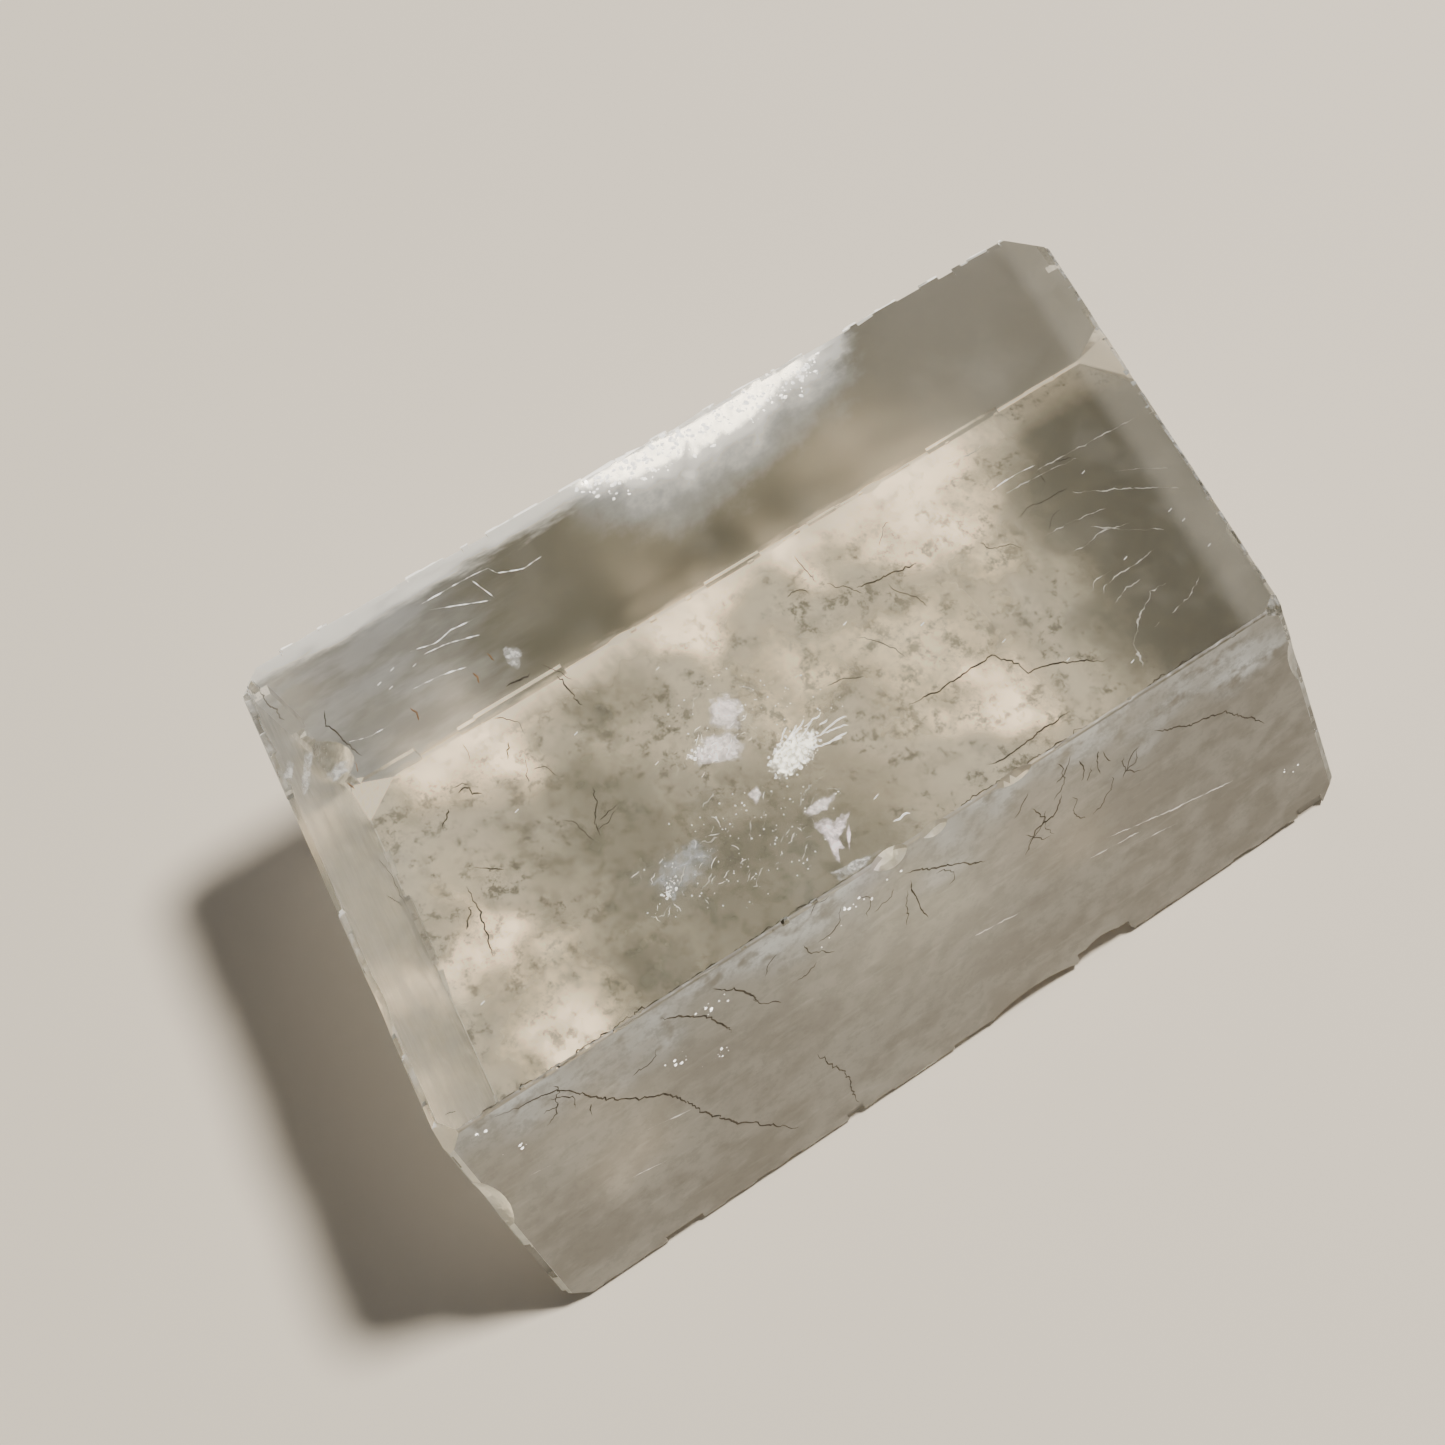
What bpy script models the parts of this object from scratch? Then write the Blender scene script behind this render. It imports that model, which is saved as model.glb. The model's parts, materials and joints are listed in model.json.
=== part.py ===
"""Optical calcite: one clear cleavage rhomb lying on its largest face.

Every flat face is a calcite cleavage plane, so all shapes here are written in the crystal's
own grid of three directions: along (the long edge), across (the short edge of the top face)
and down (the thick edge). Sizes are millimetres in that grid, turned to metres at the end.
"""
import math
import random

import bmesh
import bpy
from mathutils import Matrix, Vector

MM = 0.001

# Driving sizes of the crystal
LONG_EDGE = 45.0
SHORT_EDGE = 24.9
THICK_EDGE = 15.3
SHARP_ANGLE = math.radians(78.08)
SIZES = {"along": LONG_EDGE, "across": SHORT_EDGE, "down": THICK_EDGE}
# The left end isn't quite parallel to the right one: it stands out this much more at its far side
LEFT_END_SKEW = 0.28

# How far the twelve edges are worn back, in millimetres.
# "near" is the side with the smallest across, "left" the end with the smallest along.
EDGE_WEAR = {
    ("along", "near", "top"): 0.12,
    ("along", "far", "top"): 0.22,
    ("along", "near", "bottom"): 0.30,
    ("along", "far", "bottom"): 0.12,
    ("across", "left", "top"): 0.34,
    ("across", "right", "top"): 0.18,
    ("across", "left", "bottom"): 0.06,
    ("across", "right", "bottom"): 0.30,
    ("down", "near", "left"): 0.38,
    ("down", "near", "right"): 0.34,
    ("down", "far", "left"): 0.46,
    ("down", "far", "right"): 0.60,
}
WEAR_STEPS = 2

# Ledges: places where a cleavage sheet broke away. Each takes a stretch of an edge, from a start
# and over a length, and bites into the edge's two sides.
# Columns: edge, start, length, bite into the first side, bite into the second side.
LEDGES = [
    (("along", "far", "top"), 42.1, 0.8, 0.55, 0.30),
    (("along", "far", "top"), 39.1, 0.9, 0.60, 0.45),
    (("along", "far", "top"), 36.6, 1.4, 0.30, 0.60),
    (("along", "far", "top"), 31.0, 2.4, 0.36, 0.40),
    (("along", "far", "top"), 4.6, 3.6, 0.30, 0.30),
    (("along", "far", "top"), -0.5, 2.6, 0.36, 0.40),
    (("along", "near", "bottom"), 5.2, 2.0, 0.42, 0.60),
    (("along", "near", "bottom"), 15.3, 0.9, 0.32, 0.75),
    (("along", "near", "bottom"), 21.4, 2.2, 0.24, 0.50),
    (("along", "near", "bottom"), 28.9, 3.1, 0.70, 1.05),
    (("along", "near", "bottom"), 42.4, 1.6, 0.30, 0.90),
    (("along", "far", "bottom"), -1.0, 4.2, 0.18, 1.10),
    (("along", "far", "bottom"), 5.4, 3.1, 0.16, 0.60),
    (("along", "far", "bottom"), 6.4, 4.9, 0.20, 0.80),
    (("along", "far", "bottom"), 19.5, 3.2, 0.16, 0.40),
    (("along", "far", "bottom"), 25.6, 1.7, 0.12, 0.26),
    (("along", "far", "bottom"), 33.0, 4.4, 0.14, 0.44),
    (("across", "left", "top"), 11.7, 6.4, 0.18, 0.50),
    (("across", "left", "bottom"), 15.2, 3.6, 0.08, 0.30),
    (("across", "right", "top"), 13.3, 0.7, 0.30, 0.30),
    (("across", "right", "bottom"), 4.4, 5.2, 0.30, 0.60),
    (("across", "right", "bottom"), 15.6, 4.2, 0.34, 0.50),
    (("down", "near", "left"), 9.7, 2.9, 0.40, 0.36),
    (("down", "far", "left"), 2.4, 4.2, 0.50, 0.50),
    (("down", "far", "right"), 5.1, 5.0, 0.36, 0.90),
]

# Fine splintering: many small ledges strung along an edge.
# Columns: edge, how many, largest bite.
SPLINTERS = [
    (("along", "far", "top"), 20, 0.34),
    (("along", "near", "top"), 8, 0.10),
    (("along", "near", "bottom"), 18, 0.30),
    (("along", "far", "bottom"), 14, 0.16),
    (("across", "left", "top"), 9, 0.22),
    (("across", "right", "top"), 9, 0.15),
    (("across", "left", "bottom"), 4, 0.08),
    (("across", "right", "bottom"), 8, 0.30),
    (("down", "near", "left"), 6, 0.34),
    (("down", "near", "right"), 5, 0.22),
    (("down", "far", "left"), 6, 0.32),
    (("down", "far", "right"), 6, 0.34),
]
SPLINTER_LENGTH = (0.5, 2.3)
SPLINTER_BITE_SHARE = (0.35, 1.0)
SPLINTER_SPACING_SHARE = 0.86
SPLINTER_TURN = math.radians(7)
SPLINTER_SEED = 23

# Shell-shaped chips on edges.
# Columns: edge, middle of the chip, half length, width on the first side, width on the second side.
SHELL_CHIPS = [
    (("along", "near", "top"), 22.8, 1.0, 0.90, 0.34),
    (("along", "near", "top"), 25.2, 0.8, 0.60, 0.26),
    (("along", "near", "top"), 29.6, 1.1, 0.50, 0.26),
    (("along", "near", "bottom"), 26.2, 3.2, 0.90, 0.66),
    (("along", "near", "bottom"), 30.4, 1.9, 1.30, 1.34),
    (("along", "far", "bottom"), 14.5, 0.9, 0.34, 0.30),
    (("along", "far", "bottom"), 29.4, 0.8, 0.32, 0.28),
    (("along", "far", "top"), 24.4, 4.6, 1.20, 0.14),
    (("across", "left", "bottom"), 3.6, 0.9, 0.36, 0.30),
    (("across", "right", "bottom"), 11.8, 1.5, 0.60, 0.60),
    (("across", "right", "top"), 17.8, 1.3, 0.34, 0.26),
    (("across", "left", "top"), 7.0, 2.0, 0.46, 0.36),
    (("down", "far", "left"), 11.2, 2.2, 1.00, 0.80),
    (("down", "near", "left"), 5.6, 2.4, 0.80, 0.62),
    (("down", "near", "right"), 4.2, 2.0, 0.60, 0.50),
]
SHELL_RADIUS = 2.4

# Corners broken off flat. Columns: along, across and down side, depth below the sharp corner,
# and how far the break leans towards each of the three directions.
BROKEN_CORNERS = [
    (("left", "near", "top"), 0.70, (0.3, 0.1, 0.0)),
    (("left", "far", "top"), 0.75, (0.2, 0.4, 0.0)),
    (("right", "near", "top"), 0.55, (0.0, 0.3, 0.2)),
    (("right", "far", "top"), 1.25, (0.1, 0.2, 0.0)),
    (("left", "near", "bottom"), 0.85, (0.2, 0.0, 0.1)),
    (("right", "near", "bottom"), 0.80, (0.4, 0.2, 0.0)),
    (("left", "far", "bottom"), 0.90, (0.0, 0.3, 0.2)),
    (("right", "far", "bottom"), 1.60, (0.3, 0.0, 0.2)),
]
BREAK_BLOCK = 7.0

# How far a cutting block reaches outside the crystal
OUTSIDE = 1.5

# Colour and surface of the crystal
CALCITE_COLOUR = (0.80, 0.78, 0.72, 0.35)
CALCITE_ROUGHNESS = 0.12
CALCITE_REFRACTION = 1.66

SIDES = {"left": ("along", 0), "right": ("along", 1), "near": ("across", 0),
         "far": ("across", 1), "top": ("down", 0), "bottom": ("down", 1)}
DIRECTIONS = ("along", "across", "down")


def grid_directions():
    """Unit directions of the three cleavage edges, with the top face level."""
    cosine = math.cos(SHARP_ANGLE)
    sine = math.sin(SHARP_ANGLE)
    lean = -cosine * (1 + cosine) / sine
    drop = math.sqrt(1 - cosine ** 2 - lean ** 2)
    return {"along": Vector((1, 0, 0)),
            "across": Vector((cosine, sine, 0)),
            "down": Vector((cosine, lean, -drop))}


GRID = grid_directions()


def grid_to_space():
    """Matrix from grid millimetres to metres in space, with +Z up."""
    axes = [GRID[name] for name in DIRECTIONS]
    return Matrix.Scale(MM, 4) @ Matrix(axes).transposed().to_4x4()


def add_block(bm, low, high, turn=None):
    """A closed block between two grid points, turned about its middle where asked."""
    low = Vector(low)
    high = Vector(high)
    middle = (low + high) / 2
    placed = Matrix.Translation(middle)
    if turn is not None:
        placed = placed @ turn.to_4x4()
    placed = placed @ Matrix.Diagonal((*(high - low), 1))
    bmesh.ops.create_cube(bm, size=1, matrix=placed)


def side_value(side):
    """Where a named side lies on its own direction."""
    direction, end = SIDES[side]
    return SIZES[direction] * end


def inward(side):
    """+1 where the crystal lies on the side's high side, -1 where it lies on its low side."""
    return 1 if SIDES[side][1] == 0 else -1


def edge_box(edge, start, length, bites):
    """Low and high grid points of a block biting into an edge."""
    direction, first, second = edge
    ranges = {direction: (start, start + length)}
    for side, bite in zip((first, second), bites):
        value = side_value(side)
        inner = value + inward(side) * bite
        outer = value - inward(side) * OUTSIDE
        ranges[SIDES[side][0]] = (min(inner, outer), max(inner, outer))
    low = [ranges[name][0] for name in DIRECTIONS]
    high = [ranges[name][1] for name in DIRECTIONS]
    return low, high


def shell_centre(width_first, width_second):
    """Where a circle of the shell radius sits, outside an edge, to cut both sides to these widths.

    Both numbers count inwards: the first from the edge's first side, the second from its second.
    """
    chord = math.hypot(width_first, width_second)
    back = math.sqrt(SHELL_RADIUS ** 2 - (chord / 2) ** 2)
    return (width_second / 2 - back * width_first / chord,
            width_first / 2 - back * width_second / chord)


def make_object(name, bm, cutter=False):
    """Turn grid millimetres into metres and make the named object."""
    bmesh.ops.transform(bm, matrix=grid_to_space(), verts=bm.verts)
    bmesh.ops.recalc_face_normals(bm, faces=bm.faces)
    mesh = bpy.data.meshes.new(name)
    bm.to_mesh(mesh)
    bm.free()
    result = bpy.data.objects.new(name, mesh)
    bpy.context.scene.collection.objects.link(result)
    if cutter:
        result.hide_render = True
        result.display_type = "WIRE"
    return result


def calcite_material():
    """Clear, faintly smoky calcite."""
    material = bpy.data.materials.new("calcite")
    material.use_nodes = True
    surface = material.node_tree.nodes["Principled BSDF"]
    surface.inputs["Base Color"].default_value = CALCITE_COLOUR
    surface.inputs["Roughness"].default_value = CALCITE_ROUGHNESS
    surface.inputs["Metallic"].default_value = 0.0
    surface.inputs["IOR"].default_value = CALCITE_REFRACTION
    surface.inputs["Transmission Weight"].default_value = 1.0
    material.diffuse_color = CALCITE_COLOUR
    return material


def worn_rhomb():
    """The whole cleavage rhomb, with each of its twelve edges worn by its own amount."""
    bm = bmesh.new()
    add_block(bm, (0, 0, 0), (LONG_EDGE, SHORT_EDGE, THICK_EDGE))
    for vert in bm.verts:
        if vert.co.x < LONG_EDGE / 2 and vert.co.y > SHORT_EDGE / 2:
            vert.co.x -= LEFT_END_SKEW
    weight = bm.edges.layers.float.new("bevel_weight_edge")
    widest = max(EDGE_WEAR.values())
    for edge in bm.edges:
        edge[weight] = EDGE_WEAR[edge_name(edge)] / widest
    crystal = make_object("calcite_crystal", bm)
    bevel = crystal.modifiers.new("worn edges", "BEVEL")
    bevel.limit_method = "WEIGHT"
    bevel.width = widest * MM
    bevel.segments = WEAR_STEPS
    return crystal


def edge_name(edge):
    """The direction an edge runs in and the two sides it lies on, from its grid points."""
    first, second = (vert.co for vert in edge.verts)
    middle = (first + second) / 2
    runs = [i for i in range(3) if abs(first[i] - second[i]) > 1]
    direction = DIRECTIONS[runs[0]]
    sides = []
    for other in ("across", "along", "down"):
        if other != direction:
            share = middle[DIRECTIONS.index(other)] / SIZES[other]
            sides.append(next(side for side, place in SIDES.items() if place == (other, round(share))))
    return (direction, *sides)


def ledge_cutter():
    """The larger broken ledges, placed by hand."""
    bm = bmesh.new()
    for edge, start, length, *bites in LEDGES:
        add_block(bm, *edge_box(edge, start, length, bites))
    return make_object("ledge_cutter", bm, cutter=True)


def slight_turn(chance):
    """A random turn of a few degrees about each of the three directions."""
    turn = Matrix.Identity(3)
    for axis in "XYZ":
        turn = turn @ Matrix.Rotation(chance.uniform(-SPLINTER_TURN, SPLINTER_TURN), 3, axis)
    return turn


def splinter_cutter():
    """Small seeded ledges strung along each edge, each turned a little."""
    chance = random.Random(SPLINTER_SEED)
    bm = bmesh.new()
    for edge, count, largest in SPLINTERS:
        spacing = SIZES[edge[0]] / count
        for number in range(count):
            length = min(chance.uniform(*SPLINTER_LENGTH), spacing * SPLINTER_SPACING_SHARE)
            start = number * spacing + chance.random() * (spacing - length)
            bites = [chance.uniform(*SPLINTER_BITE_SHARE) * largest for _ in range(2)]
            add_block(bm, *edge_box(edge, start, length, bites), slight_turn(chance))
    return make_object("splinter_cutter", bm, cutter=True)


def shell_cutter():
    """Long shallow scoops where a shell-shaped flake came off."""
    bm = bmesh.new()
    for (direction, first, second), middle, half_length, width_first, width_second in SHELL_CHIPS:
        inwards = shell_centre(width_first, width_second)
        centre = {direction: middle}
        for side, distance in zip((first, second), inwards):
            centre[SIDES[side][0]] = side_value(side) + inward(side) * distance
        centre = Vector([centre[name] for name in DIRECTIONS])
        shortening = math.sqrt(1 - (math.hypot(*inwards) / SHELL_RADIUS) ** 2)
        stretch = [half_length / shortening if name == direction else SHELL_RADIUS
                   for name in DIRECTIONS]
        placed = Matrix.Translation(centre) @ Matrix.Diagonal((*stretch, 1))
        bmesh.ops.create_icosphere(bm, subdivisions=4, radius=1, matrix=placed)
    return make_object("shell_cutter", bm, cutter=True)


def corner_cutter():
    """Flat breaks across the eight corners."""
    bm = bmesh.new()
    for sides, depth, lean in BROKEN_CORNERS:
        corner = Vector([side_value(side) for side in sides])
        outward = Vector([-inward(side) * (1 + share) for side, share in zip(sides, lean)])
        outward.normalize()
        centre = corner + outward * (BREAK_BLOCK / 2 - depth)
        turn = outward.to_track_quat("Z", "Y").to_matrix().to_4x4()
        placed = Matrix.Translation(centre) @ turn
        bmesh.ops.create_cube(bm, size=BREAK_BLOCK, matrix=placed)
    return make_object("corner_cutter", bm, cutter=True)


def cut(crystal, cutter):
    """Take a cutter's whole shape out of the crystal."""
    boolean = crystal.modifiers.new(cutter.name, "BOOLEAN")
    boolean.operation = "DIFFERENCE"
    boolean.use_self = True
    boolean.object = cutter


def stand_on_origin(crystal, cutters):
    """Move everything together until the middle of the crystal's underside box is the origin."""
    bpy.context.view_layer.update()
    shape = crystal.evaluated_get(bpy.context.evaluated_depsgraph_get())
    corners = [Vector(corner) for corner in shape.bound_box]
    low = Vector([min(corner[i] for corner in corners) for i in range(3)])
    high = Vector([max(corner[i] for corner in corners) for i in range(3)])
    middle = Vector(((low.x + high.x) / 2, (low.y + high.y) / 2, low.z))
    for item in (crystal, *cutters):
        item.data.transform(Matrix.Translation(-middle))


def build():
    """The finished crystal: worn rhomb, ledges, shell chips, splinters and broken corners."""
    for leftover in list(bpy.data.objects):
        bpy.data.objects.remove(leftover)
    crystal = worn_rhomb()
    cutters = (ledge_cutter(), shell_cutter(), splinter_cutter(), corner_cutter())
    for cutter in cutters:
        cut(crystal, cutter)
    stand_on_origin(crystal, cutters)
    crystal.data.materials.append(calcite_material())


build()
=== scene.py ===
# %% [markdown]
# # A clear cleavage rhomb of calcite
# Optical calcite breaks along three flat directions, so a loose piece is a leaning block with
# flat, shiny faces. What makes it look real is the light inside it: the far side mirrors, the
# floor shows through the top, and small cracks and healed fractures catch the light. Part of
# that light is painted: films and flaws glow, and dull films paint shade and reflection.
# The solid model comes first, as a fixed frame. This script dresses it and never moves it.

# %% Load the frame
import functools
import json
import math
import random

import bmesh
import bpy
import numpy as np
from mathutils import Matrix, Vector
from mathutils.bvhtree import BVHTree

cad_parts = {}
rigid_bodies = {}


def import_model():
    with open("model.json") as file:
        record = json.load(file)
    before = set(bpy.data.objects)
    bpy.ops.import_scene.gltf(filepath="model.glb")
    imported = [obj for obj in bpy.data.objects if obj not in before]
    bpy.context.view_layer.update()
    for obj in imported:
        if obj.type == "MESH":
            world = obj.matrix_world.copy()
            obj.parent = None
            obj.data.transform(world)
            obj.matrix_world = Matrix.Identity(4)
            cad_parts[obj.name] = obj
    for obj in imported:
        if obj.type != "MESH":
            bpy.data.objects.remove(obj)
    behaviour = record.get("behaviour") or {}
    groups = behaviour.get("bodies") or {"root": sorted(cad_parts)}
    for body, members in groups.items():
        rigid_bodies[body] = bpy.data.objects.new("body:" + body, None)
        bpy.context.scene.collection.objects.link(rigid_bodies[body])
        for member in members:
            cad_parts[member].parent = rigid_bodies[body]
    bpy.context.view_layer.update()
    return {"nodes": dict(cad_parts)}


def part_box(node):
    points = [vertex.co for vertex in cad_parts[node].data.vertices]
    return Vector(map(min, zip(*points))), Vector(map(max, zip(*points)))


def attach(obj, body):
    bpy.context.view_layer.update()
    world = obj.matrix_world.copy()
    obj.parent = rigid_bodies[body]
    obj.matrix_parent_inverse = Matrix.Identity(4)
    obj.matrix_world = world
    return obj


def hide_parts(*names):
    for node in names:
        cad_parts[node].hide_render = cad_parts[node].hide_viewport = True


for unwanted in list(bpy.data.objects):
    bpy.data.objects.remove(unwanted)
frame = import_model()
MM = 0.001
crystal_low, crystal_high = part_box("calcite_crystal")

# %% [markdown]
# ## The camera
# The picture was taken from about 12 cm away, looking down at a steep angle past the near left
# corner. The camera stands there, with a lens that gives the same strong perspective. The
# picture is square, so the lens is set for the sensor's full width.

# %% Place the camera
LENS = 74.74
SENSOR = 36.0
NEAREST = 5 * MM
CAMERA_PLACE = Vector((-45.890, -57.835, 125.358)) * MM
LOOK_ALONG = Vector((0.30802, 0.43590, -0.84564)).normalized()
PICTURE_RIGHT = Vector((0.81207, -0.58354, -0.00500)).normalized()
PICTURE_UP = PICTURE_RIGHT.cross(LOOK_ALONG).normalized()

camera_data = bpy.data.cameras.new("camera")
camera_data.lens = LENS
camera_data.sensor_width = SENSOR
camera_data.sensor_fit = "HORIZONTAL"
camera_data.clip_start = NEAREST
camera = bpy.data.objects.new("camera", camera_data)
turn = Matrix((PICTURE_RIGHT, PICTURE_UP, -LOOK_ALONG)).transposed().to_4x4()
camera.matrix_world = Matrix.Translation(CAMERA_PLACE) @ turn
bpy.context.scene.collection.objects.link(camera)
bpy.context.scene.camera = camera
print("camera height, mm:", round(CAMERA_PLACE.z / MM, 1))

# %% [markdown]
# ## Shader sums written as plain sums
# A material's pattern is worked out in small steps, and each step is a node. Laying them by
# hand is slow to read, so one class holds a socket and turns +, -, * and ** into Math nodes.
# Every other node is laid by one method, which sets the node up first and then fills its sockets.

# %% A value that can be summed
class Wire:
    """The value that leaves one socket, so that sums of values can be written as sums."""

    def __init__(self, bench, socket):
        self.bench = bench
        self.socket = socket

    def sum_with(self, operation, other):
        return self.bench.lay("ShaderNodeMath", {"operation": operation}, {0: self, 1: other})

    def __add__(self, other):
        return self.sum_with("ADD", other)

    __radd__ = __add__

    def __mul__(self, other):
        return self.sum_with("MULTIPLY", other)

    def __sub__(self, other):
        return self.sum_with("SUBTRACT", other)

    def __rsub__(self, other):
        return self.bench.lay("ShaderNodeMath", {"operation": "SUBTRACT"}, {0: other, 1: self})

    def __pow__(self, other):
        return self.sum_with("POWER", other)

    def most(self, other):
        return self.sum_with("MAXIMUM", other)

    def between(self, low, high):
        """0 up to low, 1 from high on, and a smooth climb in between. Low may be the larger."""
        settings = {"interpolation_type": "SMOOTHSTEP", "clamp": True}
        return self.bench.lay("ShaderNodeMapRange", settings, {0: self, 1: low, 2: high, 3: 0.0, 4: 1.0})


# %% A bench for laying nodes
class Bench:
    """One material and the nodes laid in it."""

    def __init__(self, name):
        self.material = bpy.data.materials.new(name)
        self.material.use_nodes = True
        self.material.cycles.emission_sampling = "NONE"
        self.tree = self.material.node_tree
        self.tree.nodes.clear()

    def lay(self, kind, settings=None, values=None, out=0):
        """Lays a node. A colour may be given as three numbers, and is then opaque."""
        node = self.tree.nodes.new(kind)
        for key, value in (settings or {}).items():
            setattr(node, key, value)
        for key, value in (values or {}).items():
            socket = node.inputs[key]
            if isinstance(value, Wire):
                self.tree.links.new(value.socket, socket)
            else:
                socket.default_value = (*value[:3], 1.0) if socket.type == "RGBA" else value
        return Wire(self, node.outputs[out]) if len(node.outputs) else node

    def vector(self, operation, first, second, out=0):
        """A sum on places or arrows, which hold three numbers each."""
        values = {0: first, "Scale" if operation == "SCALE" else 1: second}
        return self.lay("ShaderNodeVectorMath", {"operation": operation}, values, out)

    def mixed(self, share, first, second):
        """Two colours mixed by a share from 0 to 1."""
        values = {0: share, 6: first, 7: second}
        return self.lay("ShaderNodeMix", {"data_type": "RGBA"}, values, out=2)

    @functools.cached_property
    def place(self):
        """Where a point is on the crystal, in millimetres."""
        return self.vector("SCALE", self.lay("ShaderNodeTexCoord", out="Object"), 1 / MM)

    def along(self, direction):
        """How far a point's place reaches in a direction."""
        return self.vector("DOT_PRODUCT", self.place, tuple(direction), "Value")

    def noise(self, place, scale, detail=2.0, roughness=0.5, out="Fac"):
        values = {"Vector": place, "Scale": scale, "Detail": detail, "Roughness": roughness}
        return self.lay("ShaderNodeTexNoise", {"noise_dimensions": "3D"}, values, out=out)


# %% [markdown]
# ## Floor and light
# The floor is a plain pale sheet, a little warm. The light is a round soft lamp high on the
# right, which throws the shadow to the left, and a dim even sky that fills it. Clear crystal is
# lit by what surrounds it: the lamp brightens the floor seen through the top, and the dim sky is
# what the mirroring sides show, so they look grey against the floor.

# %% Lay the floor
FLOOR_COLOUR = (0.80, 0.715, 0.59)
FLOOR_SHADE = (0.77, 0.685, 0.565)
FLOOR_HALF = 900 * MM
FLOOR_GAP = 0.02 * MM
FLOOR_ROUGHNESS = 0.9

floor_mesh = bpy.data.meshes.new("floor")
corners = [(x * FLOOR_HALF, y * FLOOR_HALF, -FLOOR_GAP) for x, y in ((-1, -1), (1, -1), (1, 1), (-1, 1))]
floor_mesh.from_pydata(corners, [], [(0, 1, 2, 3)])
floor = bpy.data.objects.new("floor", floor_mesh)
bpy.context.scene.collection.objects.link(floor)

bench = Bench("pale_floor")
soft_spots = bench.noise(bench.place, 0.03, 3.0).between(0.3, 0.7)
paint = bench.mixed(soft_spots * 0.5, FLOOR_COLOUR, FLOOR_SHADE)
surface = bench.lay("ShaderNodeBsdfPrincipled", None, {"Base Color": paint, "Roughness": FLOOR_ROUGHNESS})
bench.lay("ShaderNodeOutputMaterial", None, {"Surface": surface})
floor_mesh.materials.append(bench.material)
print("floor:", round(2 * FLOOR_HALF / MM), "mm wide")

# %% Hang the lamp and the sky
LAMP_TO = Vector((0.36, -0.02, 0.93)).normalized()
LAMP_AWAY = 0.55
LAMP_SIZE = 0.12
LAMP_POWER = 4.8
LAMP_COLOUR = (1.0, 0.965, 0.91)
SKY_COLOUR = (0.90, 0.94, 1.0, 1.0)
SKY_STRENGTH = 0.13
MIRRORINGS = 12

lamp_data = bpy.data.lights.new("key_lamp", "AREA")
lamp_data.shape = "DISK"
lamp_data.size = LAMP_SIZE
lamp_data.energy = LAMP_POWER
lamp_data.color = LAMP_COLOUR
lamp = bpy.data.objects.new("key_lamp", lamp_data)
lamp.location = LAMP_TO * LAMP_AWAY
lamp.rotation_euler = LAMP_TO.to_track_quat("Z", "Y").to_euler()
bpy.context.scene.collection.objects.link(lamp)

sky = bpy.data.worlds.new("dim_sky")
sky.use_nodes = True
sky.node_tree.nodes["Background"].inputs["Color"].default_value = SKY_COLOUR
sky.node_tree.nodes["Background"].inputs["Strength"].default_value = SKY_STRENGTH
bpy.context.scene.world = sky
bpy.context.scene.cycles.glossy_bounces = MIRRORINGS
print("lamp", round(LAMP_AWAY / MM), "mm away, sky strength", SKY_STRENGTH)

# %% [markdown]
# ## The crystal's own directions
# Three edges meet at each corner of the rhomb. Their directions follow from calcite's face
# angle of 78.08 degrees, and the three pairs of flat faces lie square to the lines worked out
# here. Everything on the crystal is measured along these, in millimetres.

# %% Find the cleavage directions and the six faces
FACE_ANGLE = math.radians(78.08)
lean = -math.cos(FACE_ANGLE) * (1 + math.cos(FACE_ANGLE)) / math.sin(FACE_ANGLE)
drop = math.sqrt(1 - math.cos(FACE_ANGLE) ** 2 - lean ** 2)
ALONG = Vector((1, 0, 0))
ACROSS = Vector((math.cos(FACE_ANGLE), math.sin(FACE_ANGLE), 0))
DOWN = Vector((math.cos(FACE_ANGLE), lean, -drop))

node_mesh = frame["nodes"]["calcite_crystal"].data
solid_points = np.array([vertex.co for vertex in node_mesh.vertices]) / MM
OUTWARD = {
    "top": Vector((0, 0, 1)),
    "far": ALONG.cross(DOWN).normalized() * -1,
    "right": ACROSS.cross(DOWN).normalized(),
}
for side, direction in list(OUTWARD.items()):
    if side == "far" and direction.y < 0 or side == "right" and direction.x < 0:
        OUTWARD[side] = -direction
for side, other in (("top", "bottom"), ("far", "near"), ("right", "left")):
    OUTWARD[other] = -OUTWARD[side]
REACH = {side: float((solid_points @ np.array(line)).max()) for side, line in OUTWARD.items()}
for side in OUTWARD:
    print(side, [round(v, 3) for v in OUTWARD[side]], "reach, mm:", round(REACH[side], 2))

# %% [markdown]
# ## Building with a rule: a bench for geometry
# Geometry Nodes repeat a small shape along a path or over a surface by a rule, and a seed keeps
# the chance in it the same each time. One small class lays these nodes as the other one lays
# shader nodes. When a tree has done its work, its result is turned into a plain mesh.

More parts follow.
